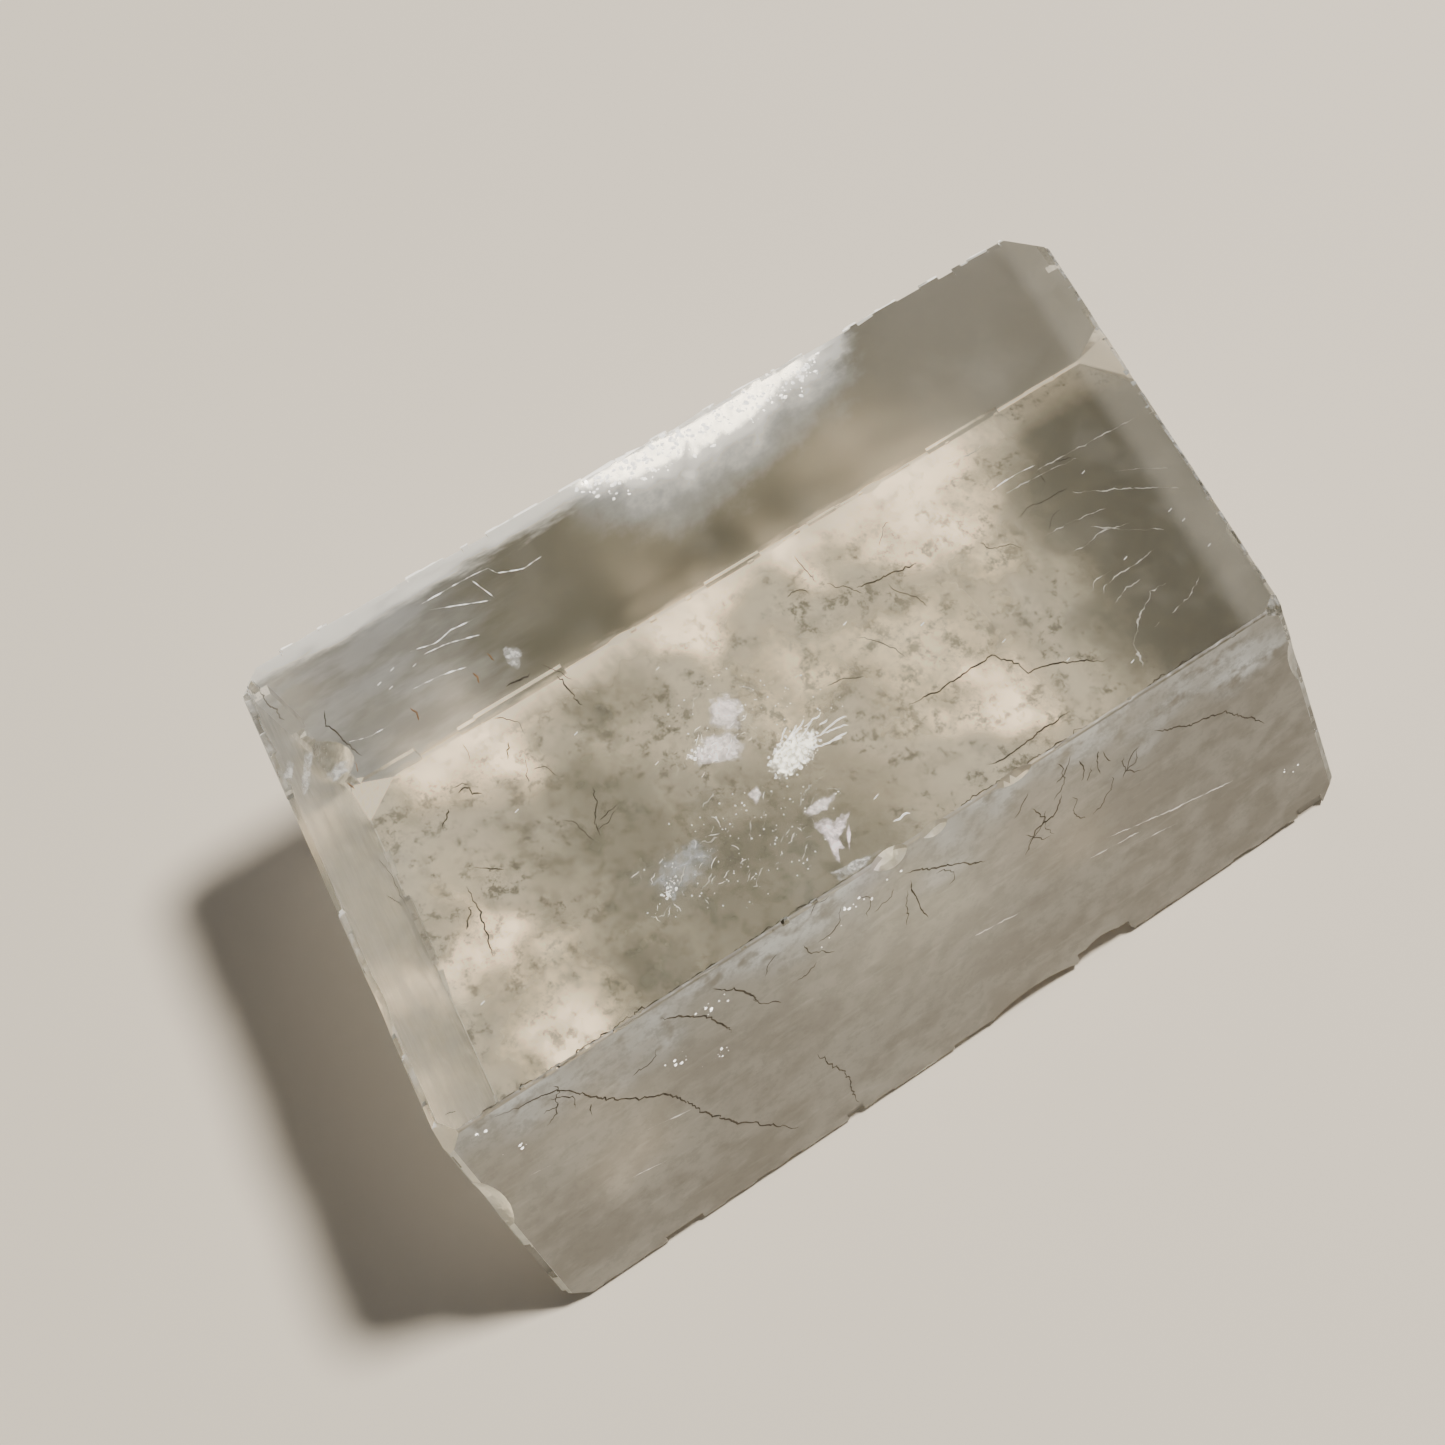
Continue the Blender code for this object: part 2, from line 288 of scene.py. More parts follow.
# %% A bench for geometry trees
class Grower(Bench):
    """One geometry tree, laid node by node, with named inputs for its sizes."""

    def __init__(self, name):
        self.tree = bpy.data.node_groups.new(name, "GeometryNodeTree")
        self.tree.interface.new_socket("Geometry", in_out="INPUT", socket_type="NodeSocketGeometry")
        self.tree.interface.new_socket("Geometry", in_out="OUTPUT", socket_type="NodeSocketGeometry")
        self.inlet = self.tree.nodes.new("NodeGroupInput")
        self.settings = {}

    def given(self, name, kind, value):
        """A named input of the tree, which holds this value when it grows."""
        socket = self.tree.interface.new_socket(name, in_out="INPUT", socket_type=kind)
        self.settings[socket.identifier] = value
        return Wire(self, self.inlet.outputs[name])

    def start(self):
        return Wire(self, self.inlet.outputs["Geometry"])

    def mesh_of(self, name, made):
        """Another object's mesh, with the object as a named input."""
        chosen = self.given(name, "NodeSocketObject", made)
        return self.lay("GeometryNodeObjectInfo", None, {"Object": chosen}, "Geometry")

    @functools.cached_property
    def place(self):
        return self.vector("SCALE", self.lay("GeometryNodeInputPosition"), 1 / MM)

    def chance(self, low, high, seed, kind="FLOAT"):
        """A different number, or arrow, at each point."""
        values, out = {"FLOAT": ({2: low, 3: high}, 1), "FLOAT_VECTOR": ({0: low, 1: high}, 0),
                       "BOOLEAN": ({6: low}, 3)}[kind]
        return self.lay("FunctionNodeRandomValue", {"data_type": kind}, {**values, "Seed": seed}, out)

    def grow(self, base, result, name, material):
        """Ends the tree, runs it on an object's mesh and returns what grew as a plain mesh."""
        paint = self.given("Finish", "NodeSocketMaterial", material)
        whole = self.lay("GeometryNodeRealizeInstances", None, {"Geometry": result})
        dressed = self.lay("GeometryNodeSetMaterial", None, {"Geometry": whole, "Material": paint})
        outlet = self.tree.nodes.new("NodeGroupOutput")
        self.tree.links.new(dressed.socket, outlet.inputs[0])
        modifier = base.modifiers.new(name, "NODES")
        modifier.node_group = self.tree
        for identifier, value in self.settings.items():
            modifier[identifier] = value
        view = bpy.context.view_layer
        view.update()
        grown = bpy.data.meshes.new_from_object(base.evaluated_get(view.depsgraph))
        grown.name = name
        base.modifiers.remove(modifier)
        return grown


# %% Objects that guide a tree
def helper(name, points, edges=(), faces=()):
    """An object that only guides a tree. It is taken away when the tree has grown."""
    mesh = bpy.data.meshes.new(name)
    mesh.from_pydata([tuple(point) for point in points], list(edges), list(faces))
    made = bpy.data.objects.new(name, mesh)
    bpy.context.scene.collection.objects.link(made)
    return made


def clear_away(*objects):
    for unwanted in objects:
        bpy.data.objects.remove(unwanted)


# %% [markdown]
# ## The crystal's edges
# A cleavage piece never has sharp clean edges. Where it was knocked, small blocks broke out of
# the edge along the same three directions as the big faces, which leaves a fine saw of steps.
# The solid model has the larger ones. The fine ones are blocks of under a millimetre, strung
# along all twelve edges by a rule and cut out of the skin.

# %% Find the corners and the twelve edges
def where_faces_meet(*sides):
    """The point in which three faces meet, in millimetres."""
    lines = np.array([OUTWARD[side] for side in sides])
    return Vector(np.linalg.solve(lines, np.array([REACH[side] for side in sides])))


ENDS, FLANKS, LEVELS = ("left", "right"), ("near", "far"), ("top", "bottom")
CORNER = {(end, flank, level): where_faces_meet(end, flank, level)
          for end in ENDS for flank in FLANKS for level in LEVELS}
EDGES = [(a, b) for a in CORNER for b in CORNER if a < b and sum(x != y for x, y in zip(a, b)) == 1]
print(len(EDGES), "edges, longest mm:", round(max((CORNER[a] - CORNER[b]).length for a, b in EDGES), 2))

# %% The block that is cut out
STEP_LENGTH = 0.74
STEP_DEPTH = 0.46


def leaning_block(name, long_way):
    """A block with cleavage faces, longer in one of the three directions."""
    sides = [STEP_LENGTH if way == long_way else STEP_DEPTH for way in range(3)]
    reach = [way * size * MM / 2 for way, size in zip((ALONG, ACROSS, DOWN), sides)]
    signs = [(a, b, c) for a in (-1, 1) for b in (-1, 1) for c in (-1, 1)]
    points = [reach[0] * a + reach[1] * b + reach[2] * c for a, b, c in signs]
    faces = [(0, 1, 3, 2), (4, 6, 7, 5), (0, 4, 5, 1), (2, 3, 7, 6), (0, 2, 6, 4), (1, 5, 7, 3)]
    block = helper(name, points, faces=faces)
    skin = bmesh.new()
    skin.from_mesh(block.data)
    bmesh.ops.recalc_face_normals(skin, faces=skin.faces)
    skin.to_mesh(block.data)
    skin.free()
    return block


# %% Where the steps are fine
FINE = 0.34


def fineness(a, b):
    """The steps are finer on the near ridge and at the foot of the left end and the far side."""
    long_and_fine = a[1:] == b[1:] and a[1:] in (("near", "top"), ("far", "bottom"))
    return FINE if long_and_fine or a[::2] == b[::2] == ("left", "bottom") else 1.0


def edge_way(a, b):
    """Which of the three directions an edge follows."""
    return 0 if a[0] != b[0] else 1 if a[1] != b[1] else 2


# %% A clean copy of the skin
JOINED = 0.0005 * MM
FLAT = math.radians(0.2)


def merged_copy(mesh, name):
    """A copy without its seams, in which each flat face is made of as few triangles as it needs."""
    copied = mesh.copy()
    copied.name = name
    copied.materials.clear()
    skin = bmesh.new()
    skin.from_mesh(copied)
    bmesh.ops.remove_doubles(skin, verts=skin.verts, dist=JOINED)
    bmesh.ops.dissolve_limit(skin, angle_limit=FLAT, verts=skin.verts, edges=skin.edges)
    bmesh.ops.triangulate(skin, faces=skin.faces)
    skin.to_mesh(copied)
    skin.free()
    return copied


skin_guide = bpy.data.objects.new("skin_guide", merged_copy(node_mesh, "skin_guide"))
bpy.context.scene.collection.objects.link(skin_guide)
print("faces of the skin before the cut:", len(skin_guide.data.polygons))

# %% Cut the fine steps
STEP_SPACING = 0.52
STEP_SIZES = (0.35, 1.45)
STEPS_THERE = 0.42
CLEAR_OF_CORNERS = 1.3
STRAY = 0.12
STRAY_ALONG = 0.25
STEP_SEED = 5

grower = Grower("fine_steps")
spacing = grower.given("Spacing", "NodeSocketFloat", STEP_SPACING * MM)
all_blocks = []
helpers = [skin_guide]
for way, direction in enumerate((ALONG, ACROSS, DOWN)):
    chosen = [(a, b) for a, b in EDGES if edge_way(a, b) == way]
    ends = [(CORNER[a] * MM, CORNER[b] * MM) for a, b in chosen]
    trimmed = [(a.lerp(b, CLEAR_OF_CORNERS * MM / (b - a).length),
                b.lerp(a, CLEAR_OF_CORNERS * MM / (b - a).length)) for a, b in ends]
    points = [point for pair in trimmed for point in pair]
    lines = helper("edge_lines", points, edges=[(2 * i, 2 * i + 1) for i in range(len(trimmed))])
    fine = lines.data.attributes.new("fineness", "FLOAT", "POINT")
    fine.data.foreach_set("value", [fineness(a, b) for a, b in chosen for _ in range(2)])
    block = leaning_block("step_block", way)
    helpers += [lines, block]
    seed = grower.given(f"Seed {way}", "NodeSocketInt", STEP_SEED + way)
    path = grower.mesh_of(f"Edge Lines {way}", lines)
    path = grower.lay("GeometryNodeMeshToCurve", None, {"Mesh": path})
    walked = {"Curve": path, "Length": spacing}
    spots = grower.lay("GeometryNodeCurveToPoints", {"mode": "LENGTH"}, walked)
    stray = Vector((STRAY, STRAY, STRAY)) + Vector([abs(x) for x in direction]) * STRAY_ALONG
    shift = grower.chance(tuple(-stray * MM), tuple(stray * MM), seed, "FLOAT_VECTOR")
    spots = grower.lay("GeometryNodeSetPosition", None, {"Geometry": spots, "Offset": shift})
    shape = grower.mesh_of(f"Step Block {way}", block)
    size = grower.chance(*STEP_SIZES, seed)
    finer = grower.lay("GeometryNodeInputNamedAttribute", {"data_type": "FLOAT"}, {"Name": "fineness"})
    there = grower.chance(STEPS_THERE, None, seed, "BOOLEAN")
    placed = {"Points": spots, "Instance": shape, "Scale": size * finer, "Selection": there}
    blocks = grower.lay("GeometryNodeInstanceOnPoints", None, placed)
    all_blocks.append(blocks)
cut = grower.lay("GeometryNodeMeshBoolean", {"operation": "DIFFERENCE", "solver": "MANIFOLD"},
                 {"Mesh 1": grower.start()}, "Mesh")
for blocks in all_blocks:
    grower.tree.links.new(blocks.socket, cut.socket.node.inputs["Mesh 2"])
body_mesh = grower.grow(skin_guide, cut, "calcite_body", None)
clear_away(*helpers)
print("faces with the steps cut:", len(body_mesh.polygons))

# %% Sort clear faces from broken ones
SAME_WAY = 0.9993
# On the near ridge the dark mark is dirt; the wide one along the near foot is painted shade.
WORN_EDGES = {"ridge_dirt_and_near_foot_shade": (("top", "near", 0.24), ("bottom", "near", 1.2)),
              "far_rim": (("top", "far", 1.3),),
              "far_foot": (("bottom", "far", 1.2),)}

skin = bmesh.new()
skin.from_mesh(body_mesh)
bmesh.ops.remove_doubles(skin, verts=skin.verts, dist=2 * JOINED)
bmesh.ops.dissolve_degenerate(skin, edges=skin.edges, dist=JOINED)
bmesh.ops.triangulate(skin, faces=skin.faces)
skin.to_mesh(body_mesh)
open_edges = sum(not edge.is_manifold for edge in skin.edges)
skin.free()


def kind_of(face):
    """The side that a face lies level with, or "broken". A step counts with the side it follows."""
    for side, line in OUTWARD.items():
        if face.normal.dot(line) > SAME_WAY:
            return side
    return "broken"


def by_edge(face, first, second, reach):
    """1 for a face that lies in the worn edge between two sides, within a reach of both."""
    middle = face.center / MM
    return float(max(REACH[side] - OUTWARD[side].dot(middle) for side in (first, second)) < reach)


kinds = [kind_of(face) for face in body_mesh.polygons]
groups = {"broken": {"broken"}, "under_side": {"bottom"}, "near_side": {"near"}, "far_side": {"far"},
          "right_end": {"right"}, "left_end": {"left"}}
marks = {name: [float(kind in members) for kind in kinds] for name, members in groups.items()}
faces_of_kind = list(zip(kinds, body_mesh.polygons))
for name, edges in WORN_EDGES.items():
    marks[name] = [max(by_edge(face, *edge) for edge in edges) * (kind == "broken")
                   for kind, face in faces_of_kind]
for name, values in marks.items():
    body_mesh.attributes.new(name, "FLOAT", "FACE").data.foreach_set("value", values)
print("body:", len(kinds), "triangles,", kinds.count("broken"), "broken,", open_edges, "open edges")

# %% [markdown]
# ## Clear calcite
# Glass in a shader needs three plain values: how strongly it bends light, how much it takes
# away on the way through, and how smooth its skin is. Calcite bends light by about 1.6. A
# loose piece is never quite clean, so each side is a mix of clear glass and a thin dull film of
# frost, dust or old dirt. In some places the film is painted shade, sunlight or reflection
# instead, and the films glow with painted light. Patterns say how much of the film is mixed in
# at each place, and a pattern is built from noise, because no two patches of real dirt are alike.

# %% Values for the crystal and its films
BENDS_LIGHT = 1.60
ABSORBS = 27.0
ABSORB_COLOUR = (0.86, 0.84, 0.69)
ROUGHNESS = {"top": 0.05, "bottom": 0.12, "near": 0.40, "far": 0.30, "left": 0.16, "right": 0.34,
             "broken": 0.32}
# Glow strengths: each film's glow is painted light caught in the crystal.
GLOW = {"bottom": 0.60, "sunny": 2.4, "near": 0.25, "far": 0.30, "rim": 1.0, "wedge": 1.0, "left": 0.25,
        "far_foot": 0.7, "far_rim": 0.9}
FILM_ROUGHNESS = 0.6
MILK = (0.86, 0.85, 0.81)
COOL_MILK = (0.85, 0.865, 0.885)
CREAM_FROST = (1.0, 0.96, 0.88)
BLUE_FROST = (0.42, 0.435, 0.44)
# Olive dirt on the underside; on the far side it is painted dark reflection.
OLIVE_FILM_AND_DARK_REFLECTION = (0.16, 0.15, 0.11)
PALE_FILM = (0.64, 0.57, 0.43)
SANDY_FILM = (0.46, 0.39, 0.27)
GRAIN_DIRT = (0.11, 0.10, 0.075)
TOP_FILM = (0.42, 0.395, 0.335)
END_FILM = (0.32, 0.29, 0.225)
# A warm pale tone, which is painted sunlight where it covers the sunny spots.
WARM_FILM_AND_SUNLIGHT = (1.0, 0.85, 0.62)
# Painted sunlight for the sunny spots, which also glow.
SUN_FILM = (1.0, 0.80, 0.57)
# Painted shade for the dark corner of the underside by the right end.
CORNER_SHADE = (0.12, 0.115, 0.09)
NEAR_FILM = (0.178, 0.158, 0.126)
NEAR_HAZE = (0.25, 0.23, 0.19)
# Cool frost by the near ridge, partly painted sky reflection.
NEAR_FROST_AND_SKY_SHEEN = (0.54, 0.55, 0.52)
# Frost on the worn far foot, and painted light focused along it.
FOOT_FROST_AND_GLOW = (0.96, 0.83, 0.65)
# A paler film for the ends; on the far side it is painted lighter reflection to the right.
FAR_FILM_AND_REFLECTION = (0.44, 0.41, 0.35)
TIP_FILM = (0.38, 0.385, 0.39)
RIM_FROST = (0.96, 0.92, 0.83)
# Dirt in the near ridge, and painted shade along the near foot.
RIDGE_DIRT_AND_FOOT_SHADE = (0.13, 0.105, 0.07)

# %% Helpers for the finishes
def attribute(bench, name):
    return bench.lay("ShaderNodeAttribute", {"attribute_name": name}, None, "Fac")


def glass(bench, side, **more):
    values = {"Base Color": (1.0, 1.0, 1.0), "Roughness": ROUGHNESS[side], "IOR": BENDS_LIGHT,
              "Transmission Weight": 1.0, **more}
    return bench.lay("ShaderNodeBsdfPrincipled", None, values)


def dull(bench, colour, roughness, glow, **more):
    """A plain finish, with a glow of its own colour, which is painted light."""
    values = {"Base Color": colour, "Roughness": roughness, "Emission Color": colour,
              "Emission Strength": glow, **more}
    return bench.lay("ShaderNodeBsdfPrincipled", None, values)


def film(bench, colour, glow=0.0):
    """Dust, frost or stain, which is mixed in by a share. On some faces the film is painted shade,
    sunlight or reflection instead. A film inside the crystal is lit many times over by light that
    can't get out, and its glow is painted light that stands for that."""
    return dull(bench, colour, FILM_ROUGHNESS, glow)


def mix_finishes(bench, share, first, second):
    return bench.lay("ShaderNodeMixShader", None, {0: share, 1: first, 2: second})


def behind(bench, side):
    """How far a point is behind one of the six faces."""
    return REACH[side] - bench.along(OUTWARD[side])


def flat_noise(bench, axes, detail, roughness=0.6):
    """Noise that varies in two directions only, which is quick to work out. The length of each
    axis says how fine the noise is along it."""
    place = bench.lay("ShaderNodeCombineXYZ", None, {i: bench.along(axis) for i, axis in enumerate(axes)})
    values = {"Vector": place, "Scale": 1.0, "Detail": detail, "Roughness": roughness}
    return bench.lay("ShaderNodeTexNoise", {"noise_dimensions": "2D"}, values)


def level_noise(bench, scale, detail, roughness=0.6):
    """Flat noise for the level faces and sheets."""
    return flat_noise(bench, (Vector((scale, 0, 0)), Vector((0, scale, 0))), detail, roughness)


# %% [markdown]
# ## The top and the underside
# The top has only a thin haze, thicker at the two ends. The underside is seen through the whole
# crystal and gives it its mottled look: a blotchy film, pale in some places and olive in others,
# with grains of dirt. A dark corner by the right end is painted shade, a few warm sunny spots are
# painted sunlight, and a warm glow along the far foot is painted light. Each tone has a few round
# spots. Noise pushes every point about before its distance to a spot is taken, which makes the
# rims ragged.

# %% Finish the top
bench = Bench("clear_calcite")
haze = level_noise(bench, 0.30, 3.0)
from_left = behind(bench, "left")
from_right = behind(bench, "right")
left_haze = (from_left - haze * 5.0).between(2.4, -2.0)
right_haze = from_right.between(2.5, 1.3)
top_share = haze.between(0.45, 0.75) * 0.07 + left_haze * 0.22 + right_haze * 0.30
top_film = film(bench, bench.mixed(right_haze, TOP_FILM, END_FILM))
top_side = mix_finishes(bench, top_share, glass(bench, "top"), top_film)
print("top:", len(bench.tree.nodes), "nodes")

# %% Place the spots on the underside
PUSH = 6.0
# The sunny spots are painted pools of sunlight on the underside.
SUNNY_SPOTS = ((-9.8, 12.2, 0.5, 5.0), (2.4, 12.4, 0.5, 4.0), (9.4, 12.2, 0.3, 3.4),
               (15.8, 12.2, 1.2, 6.4), (-15.2, 3.4, 0.2, 3.6), (11.8, -0.6, 0.2, 4.0),
               (-14.6, -2.6, 0.2, 3.0))
PALE_SPOTS = ((-14.4, -2.2, 1.0, 4.4), (-12.6, 1.2, 0.2, 2.8), (10.5, 4.2, 0.5, 6.2),
              (4.8, 6.4, 0.3, 3.8), (16.4, 6.2, 0.3, 3.2))
SANDY_SPOTS = ((-12.8, 0.8, 0.8, 4.6), (2.0, -1.0, 1.0, 6.0))
OLIVE_SPOTS = ((-7.0, 5.0, 1.5, 6.5), (-2.0, -2.0, 3.0, 9.5), (-3.4, 11.0, 0.4, 3.4),
               (-9.4, -2.0, 0.8, 3.8), (-7.0, 1.2, 0.8, 4.4))


def pushed(bench, first, second):
    """Every point's place, pushed along X and Y by two noises."""
    push = bench.lay("ShaderNodeCombineXYZ", None, {0: first * PUSH, 1: second * PUSH})
    return bench.vector("ADD", bench.place, push)


def spots(bench, place, rounds):
    """Each spot has a middle and two distances: 1 within the first, fading to 0 at the second."""
    nearness = []
    for x, y, inner, outer in rounds:
        away = bench.vector("DISTANCE", place, (x, y, 0.0), "Value")
        nearness.append(away.between(outer, inner))
    return functools.reduce(Wire.most, nearness)


blotch = level_noise(bench, 0.21, 4.0)
drifted = pushed(bench, blotch, haze)
softly = pushed(bench, level_noise(bench, 0.21, 1.0), level_noise(bench, 0.30, 1.0))
sunny = spots(bench, softly, SUNNY_SPOTS)
# The pale mark takes in the sunny spots, so its warm colour is partly painted sunlight.
pale = sunny.most(spots(bench, drifted, PALE_SPOTS))
sandy = spots(bench, drifted, SANDY_SPOTS)
olive = spots(bench, drifted, OLIVE_SPOTS)
print("spots:", sum(map(len, (SUNNY_SPOTS, PALE_SPOTS, SANDY_SPOTS, OLIVE_SPOTS))))

# %% Finish the underside
from_far = behind(bench, "far")
teeth = flat_noise(bench, (ALONG * 0.55, ACROSS * 0.20), 3.0)
# Painted light: a warm glow on the underside along the far foot.
far_glow = (from_far - blotch * 1.8 - teeth * 1.2).between(0.6, -1.2)
far_glow = far_glow * (from_right + blotch * 8.0).between(10.0, 15.0) * from_left.between(1.0, 4.0)
specks = level_noise(bench, 0.85, 5.0).between(0.44, 0.70) * (1 - pale * 0.4)
crumbs = level_noise(bench, 1.15, 7.0, 0.82)
grains = crumbs.between(0.47, 0.62) * (haze + specks * 0.3).between(0.30, 0.62) * (1 - pale * 0.25)
# Painted shade: the underside film turns dark by the right end.
right_corner_shade = (from_right + blotch * 5.0).between(14.5, 9.0) * (from_far + blotch * 3.0).between(1.8, 4.0)
film_colour = bench.mixed(blotch.between(0.42, 0.62), OLIVE_FILM_AND_DARK_REFLECTION, PALE_FILM)
for share, colour in ((sandy, SANDY_FILM), (olive, OLIVE_FILM_AND_DARK_REFLECTION), (pale, WARM_FILM_AND_SUNLIGHT),
                      (right_corner_shade, CORNER_SHADE), (specks * 0.6, OLIVE_FILM_AND_DARK_REFLECTION), (grains * 0.9, GRAIN_DIRT),
                      (far_glow, FOOT_FROST_AND_GLOW)):
    film_colour = bench.mixed(share, film_colour, colour)
under_share = 0.06 + blotch.between(0.38, 0.7) * 0.14 + olive * 0.42 + pale * 0.70 + specks * 0.14
under_share = under_share.most(sandy * 0.5).most(grains * 0.62)
under_share = under_share.most(right_corner_shade * 0.66).most(far_glow * 0.85)
under_film = film(bench, film_colour, GLOW["bottom"])
under_side = mix_finishes(bench, under_share, glass(bench, "bottom"), under_film)
# Painted sunlight: the sunny spots get a bright glowing film of their own.
sunny = sunny * sunny * (crumbs + haze * 0.4).between(0.36, 0.78)
sunny = sunny * (1 - grains * 0.9) * (1 - specks * 0.5)
under_side = mix_finishes(bench, sunny * 0.62, under_side, film(bench, SUN_FILM, GLOW["sunny"]))
print("top and underside:", len(bench.tree.nodes), "nodes")

# %% [markdown]
# ## The four standing sides
# The near side is grey and almost opaque: a fine frost in streaks that follow the long edge,
# cool by the ridge, where the cool tone is partly painted sky reflection. The far side is seen
# from inside. Its dull olive film is painted dark reflection, lighter to the right and thicker
# low down, with frosted tips and a milky wedge at its top edge. The two ends are dull in streaks
# that follow the short edge. The noise on each side is stretched along its own edges, because
# wear and cleavage run that way.

# %% Finish the near side
square_down = (DOWN - ALONG * DOWN.dot(ALONG)).normalized()
streaks = flat_noise(bench, (ALONG * 0.34, square_down * 1.5), 3.0).between(0.56, 0.74)
cloud = flat_noise(bench, (ALONG * 0.17, square_down * 0.30), 2.0)
curls = flat_noise(bench, (ALONG * 0.8, square_down * 1.0), 3.0)
near_grit = flat_noise(bench, (ALONG * 0.9, square_down * 1.2), 6.0, 0.78)
from_top = behind(bench, "top")
# The cool tone by the ridge is frost and painted sky reflection.
cool = (from_top + cloud * 10.0 + curls * 3.0).between(10.2, 4.6) * curls.between(0.26, 0.54)
near_share = 0.82 - streaks * 0.07 + cool * 0.10
near_colour = bench.mixed((cloud + curls * 0.5).between(0.62, 0.88), NEAR_FILM, NEAR_HAZE)
near_colour = bench.mixed(cool, near_colour, NEAR_FROST_AND_SKY_SHEEN)
near_colour = bench.mixed(near_grit.between(0.46, 0.64) * 0.42, near_colour, GRAIN_DIRT)
near_film = film(bench, near_colour, GLOW["near"])
near_side = mix_finishes(bench, near_share, glass(bench, "near"), near_film)
print("with the near side:", len(bench.tree.nodes), "nodes")

# %% Finish the far side
along_far = bench.along(ALONG)
grain = flat_noise(bench, (ALONG * 0.34, square_down * 0.85), 4.0)
swirl = flat_noise(bench, (ALONG * 0.17, square_down * 0.34), 4.0).between(0.36, 0.64)
tip = (along_far + grain * 3.0).between(-6.0, -12.0)
rim = (from_top + grain * 2.6).between(4.0, 2.2) * (along_far + grain * 2.0).between(14.0, 11.0)
from_bottom = behind(bench, "bottom")
# The far side's foot is frosted, and its warm glowing colour is partly painted light.
foot = (from_bottom + grain * 2.0).between(1.7, 0.5) * along_far.between(18.0, 12.0)
to_right = along_far.between(8.0, 16.0)
# Painted reflection: the far side's olive film stands for the dark surroundings it mirrors, lighter to the
# right, thicker low down, with a darker shaded patch.
far_colour = bench.mixed(to_right, OLIVE_FILM_AND_DARK_REFLECTION, FAR_FILM_AND_REFLECTION)
far_colour = bench.mixed(tip, far_colour, bench.mixed(swirl * 0.45, TIP_FILM, COOL_MILK))
far_colour = bench.mixed(foot, far_colour, FOOT_FROST_AND_GLOW)
low = from_bottom.between(6.5, 2.5)
shade = low * along_far.between(-7.0, -4.0) * along_far.between(4.0, 0.0)
far_share = (0.58 + to_right * 0.12 + low * 0.22).most(shade * 0.90)
far_share = far_share.most(tip * (0.56 + swirl * 0.18 + grain.between(0.4, 0.7) * 0.10)).most(foot * 0.8)
far_side = mix_finishes(bench, far_share, glass(bench, "far"), film(bench, far_colour, GLOW["far"]))
far_side = mix_finishes(bench, rim * 0.85, far_side, film(bench, RIM_FROST, GLOW["rim"]))
print("with the far side:", len(bench.tree.nodes), "nodes")

# %% Add the milky wedge to the far side
clots = flat_noise(bench, (ALONG * 0.58, square_down * 0.40), 5.0)
wedge = (along_far + clots * 3.0).between(-3.2, -1.0) * (along_far + clots * 3.0).between(14.4, 12.0)
wedge_deep = from_top + clots * 5.0 + along_far.between(4.0, 12.0) * 2.6
wedge_deep = wedge_deep + along_far.between(1.0, -4.0) * 4.6
cream = wedge * wedge_deep.between(9.4, 5.8)
blue = wedge * wedge_deep.between(12.8, 7.2)
wedge_film = film(bench, bench.mixed(cream, BLUE_FROST, CREAM_FROST), GLOW["wedge"])
far_side = mix_finishes(bench, (blue * 0.62).most(cream * 0.95), far_side, wedge_film)
print("with the wedge:", len(bench.tree.nodes), "nodes")

# %% Finish the two ends
end_down = (DOWN - ACROSS * DOWN.dot(ACROSS)).normalized()
end_streaks = flat_noise(bench, (ACROSS * 0.16, end_down * 1.3), 4.0, 0.7).between(0.36, 0.66)
end_cloud = flat_noise(bench, (ACROSS * 0.24, end_down * 0.30), 3.0).between(0.35, 0.65)
end_paint = bench.mixed(end_cloud, END_FILM, FAR_FILM_AND_REFLECTION)
left_share = 0.26 + end_streaks * 0.16 + end_cloud * 0.20
left_end = mix_finishes(bench, left_share, glass(bench, "left"), film(bench, end_paint, GLOW["left"]))
right_share = 0.30 + end_streaks * 0.18 + end_cloud * 0.18
right_end = mix_finishes(bench, right_share, glass(bench, "right"), film(bench, end_paint))
print("with the ends:", len(bench.tree.nodes), "nodes")

# %% [markdown]
# ## Broken places
# Where the skin is broken it is rough, and crushed crystal scatters light like snow, so a little
# milky white is mixed into the grit. The worn edges then get frost or dirt of their own: the frost
# glows with painted light, and the dark mark along the near foot is painted shade. Every face of
# the mesh carries marks that say which side it belongs to, and they choose its finish.

# %% Finish the broken places and put the sides together
grit = bench.noise(bench.place, 2.6, 2.0, 0.6)
bump = bench.lay("ShaderNodeBump", None, {"Strength": 0.5, "Distance": 0.12 * MM, "Height": grit})
rough_glass = glass(bench, "broken", Normal=bump)
broken = mix_finishes(bench, grit.between(0.35, 0.75) * 0.35, rough_glass, film(bench, MILK))
surface = top_side
for name, finish in (("under_side", under_side), ("near_side", near_side), ("far_side", far_side),
                     ("right_end", right_end), ("left_end", left_end), ("broken", broken)):
    surface = mix_finishes(bench, attribute(bench, name), surface, finish)
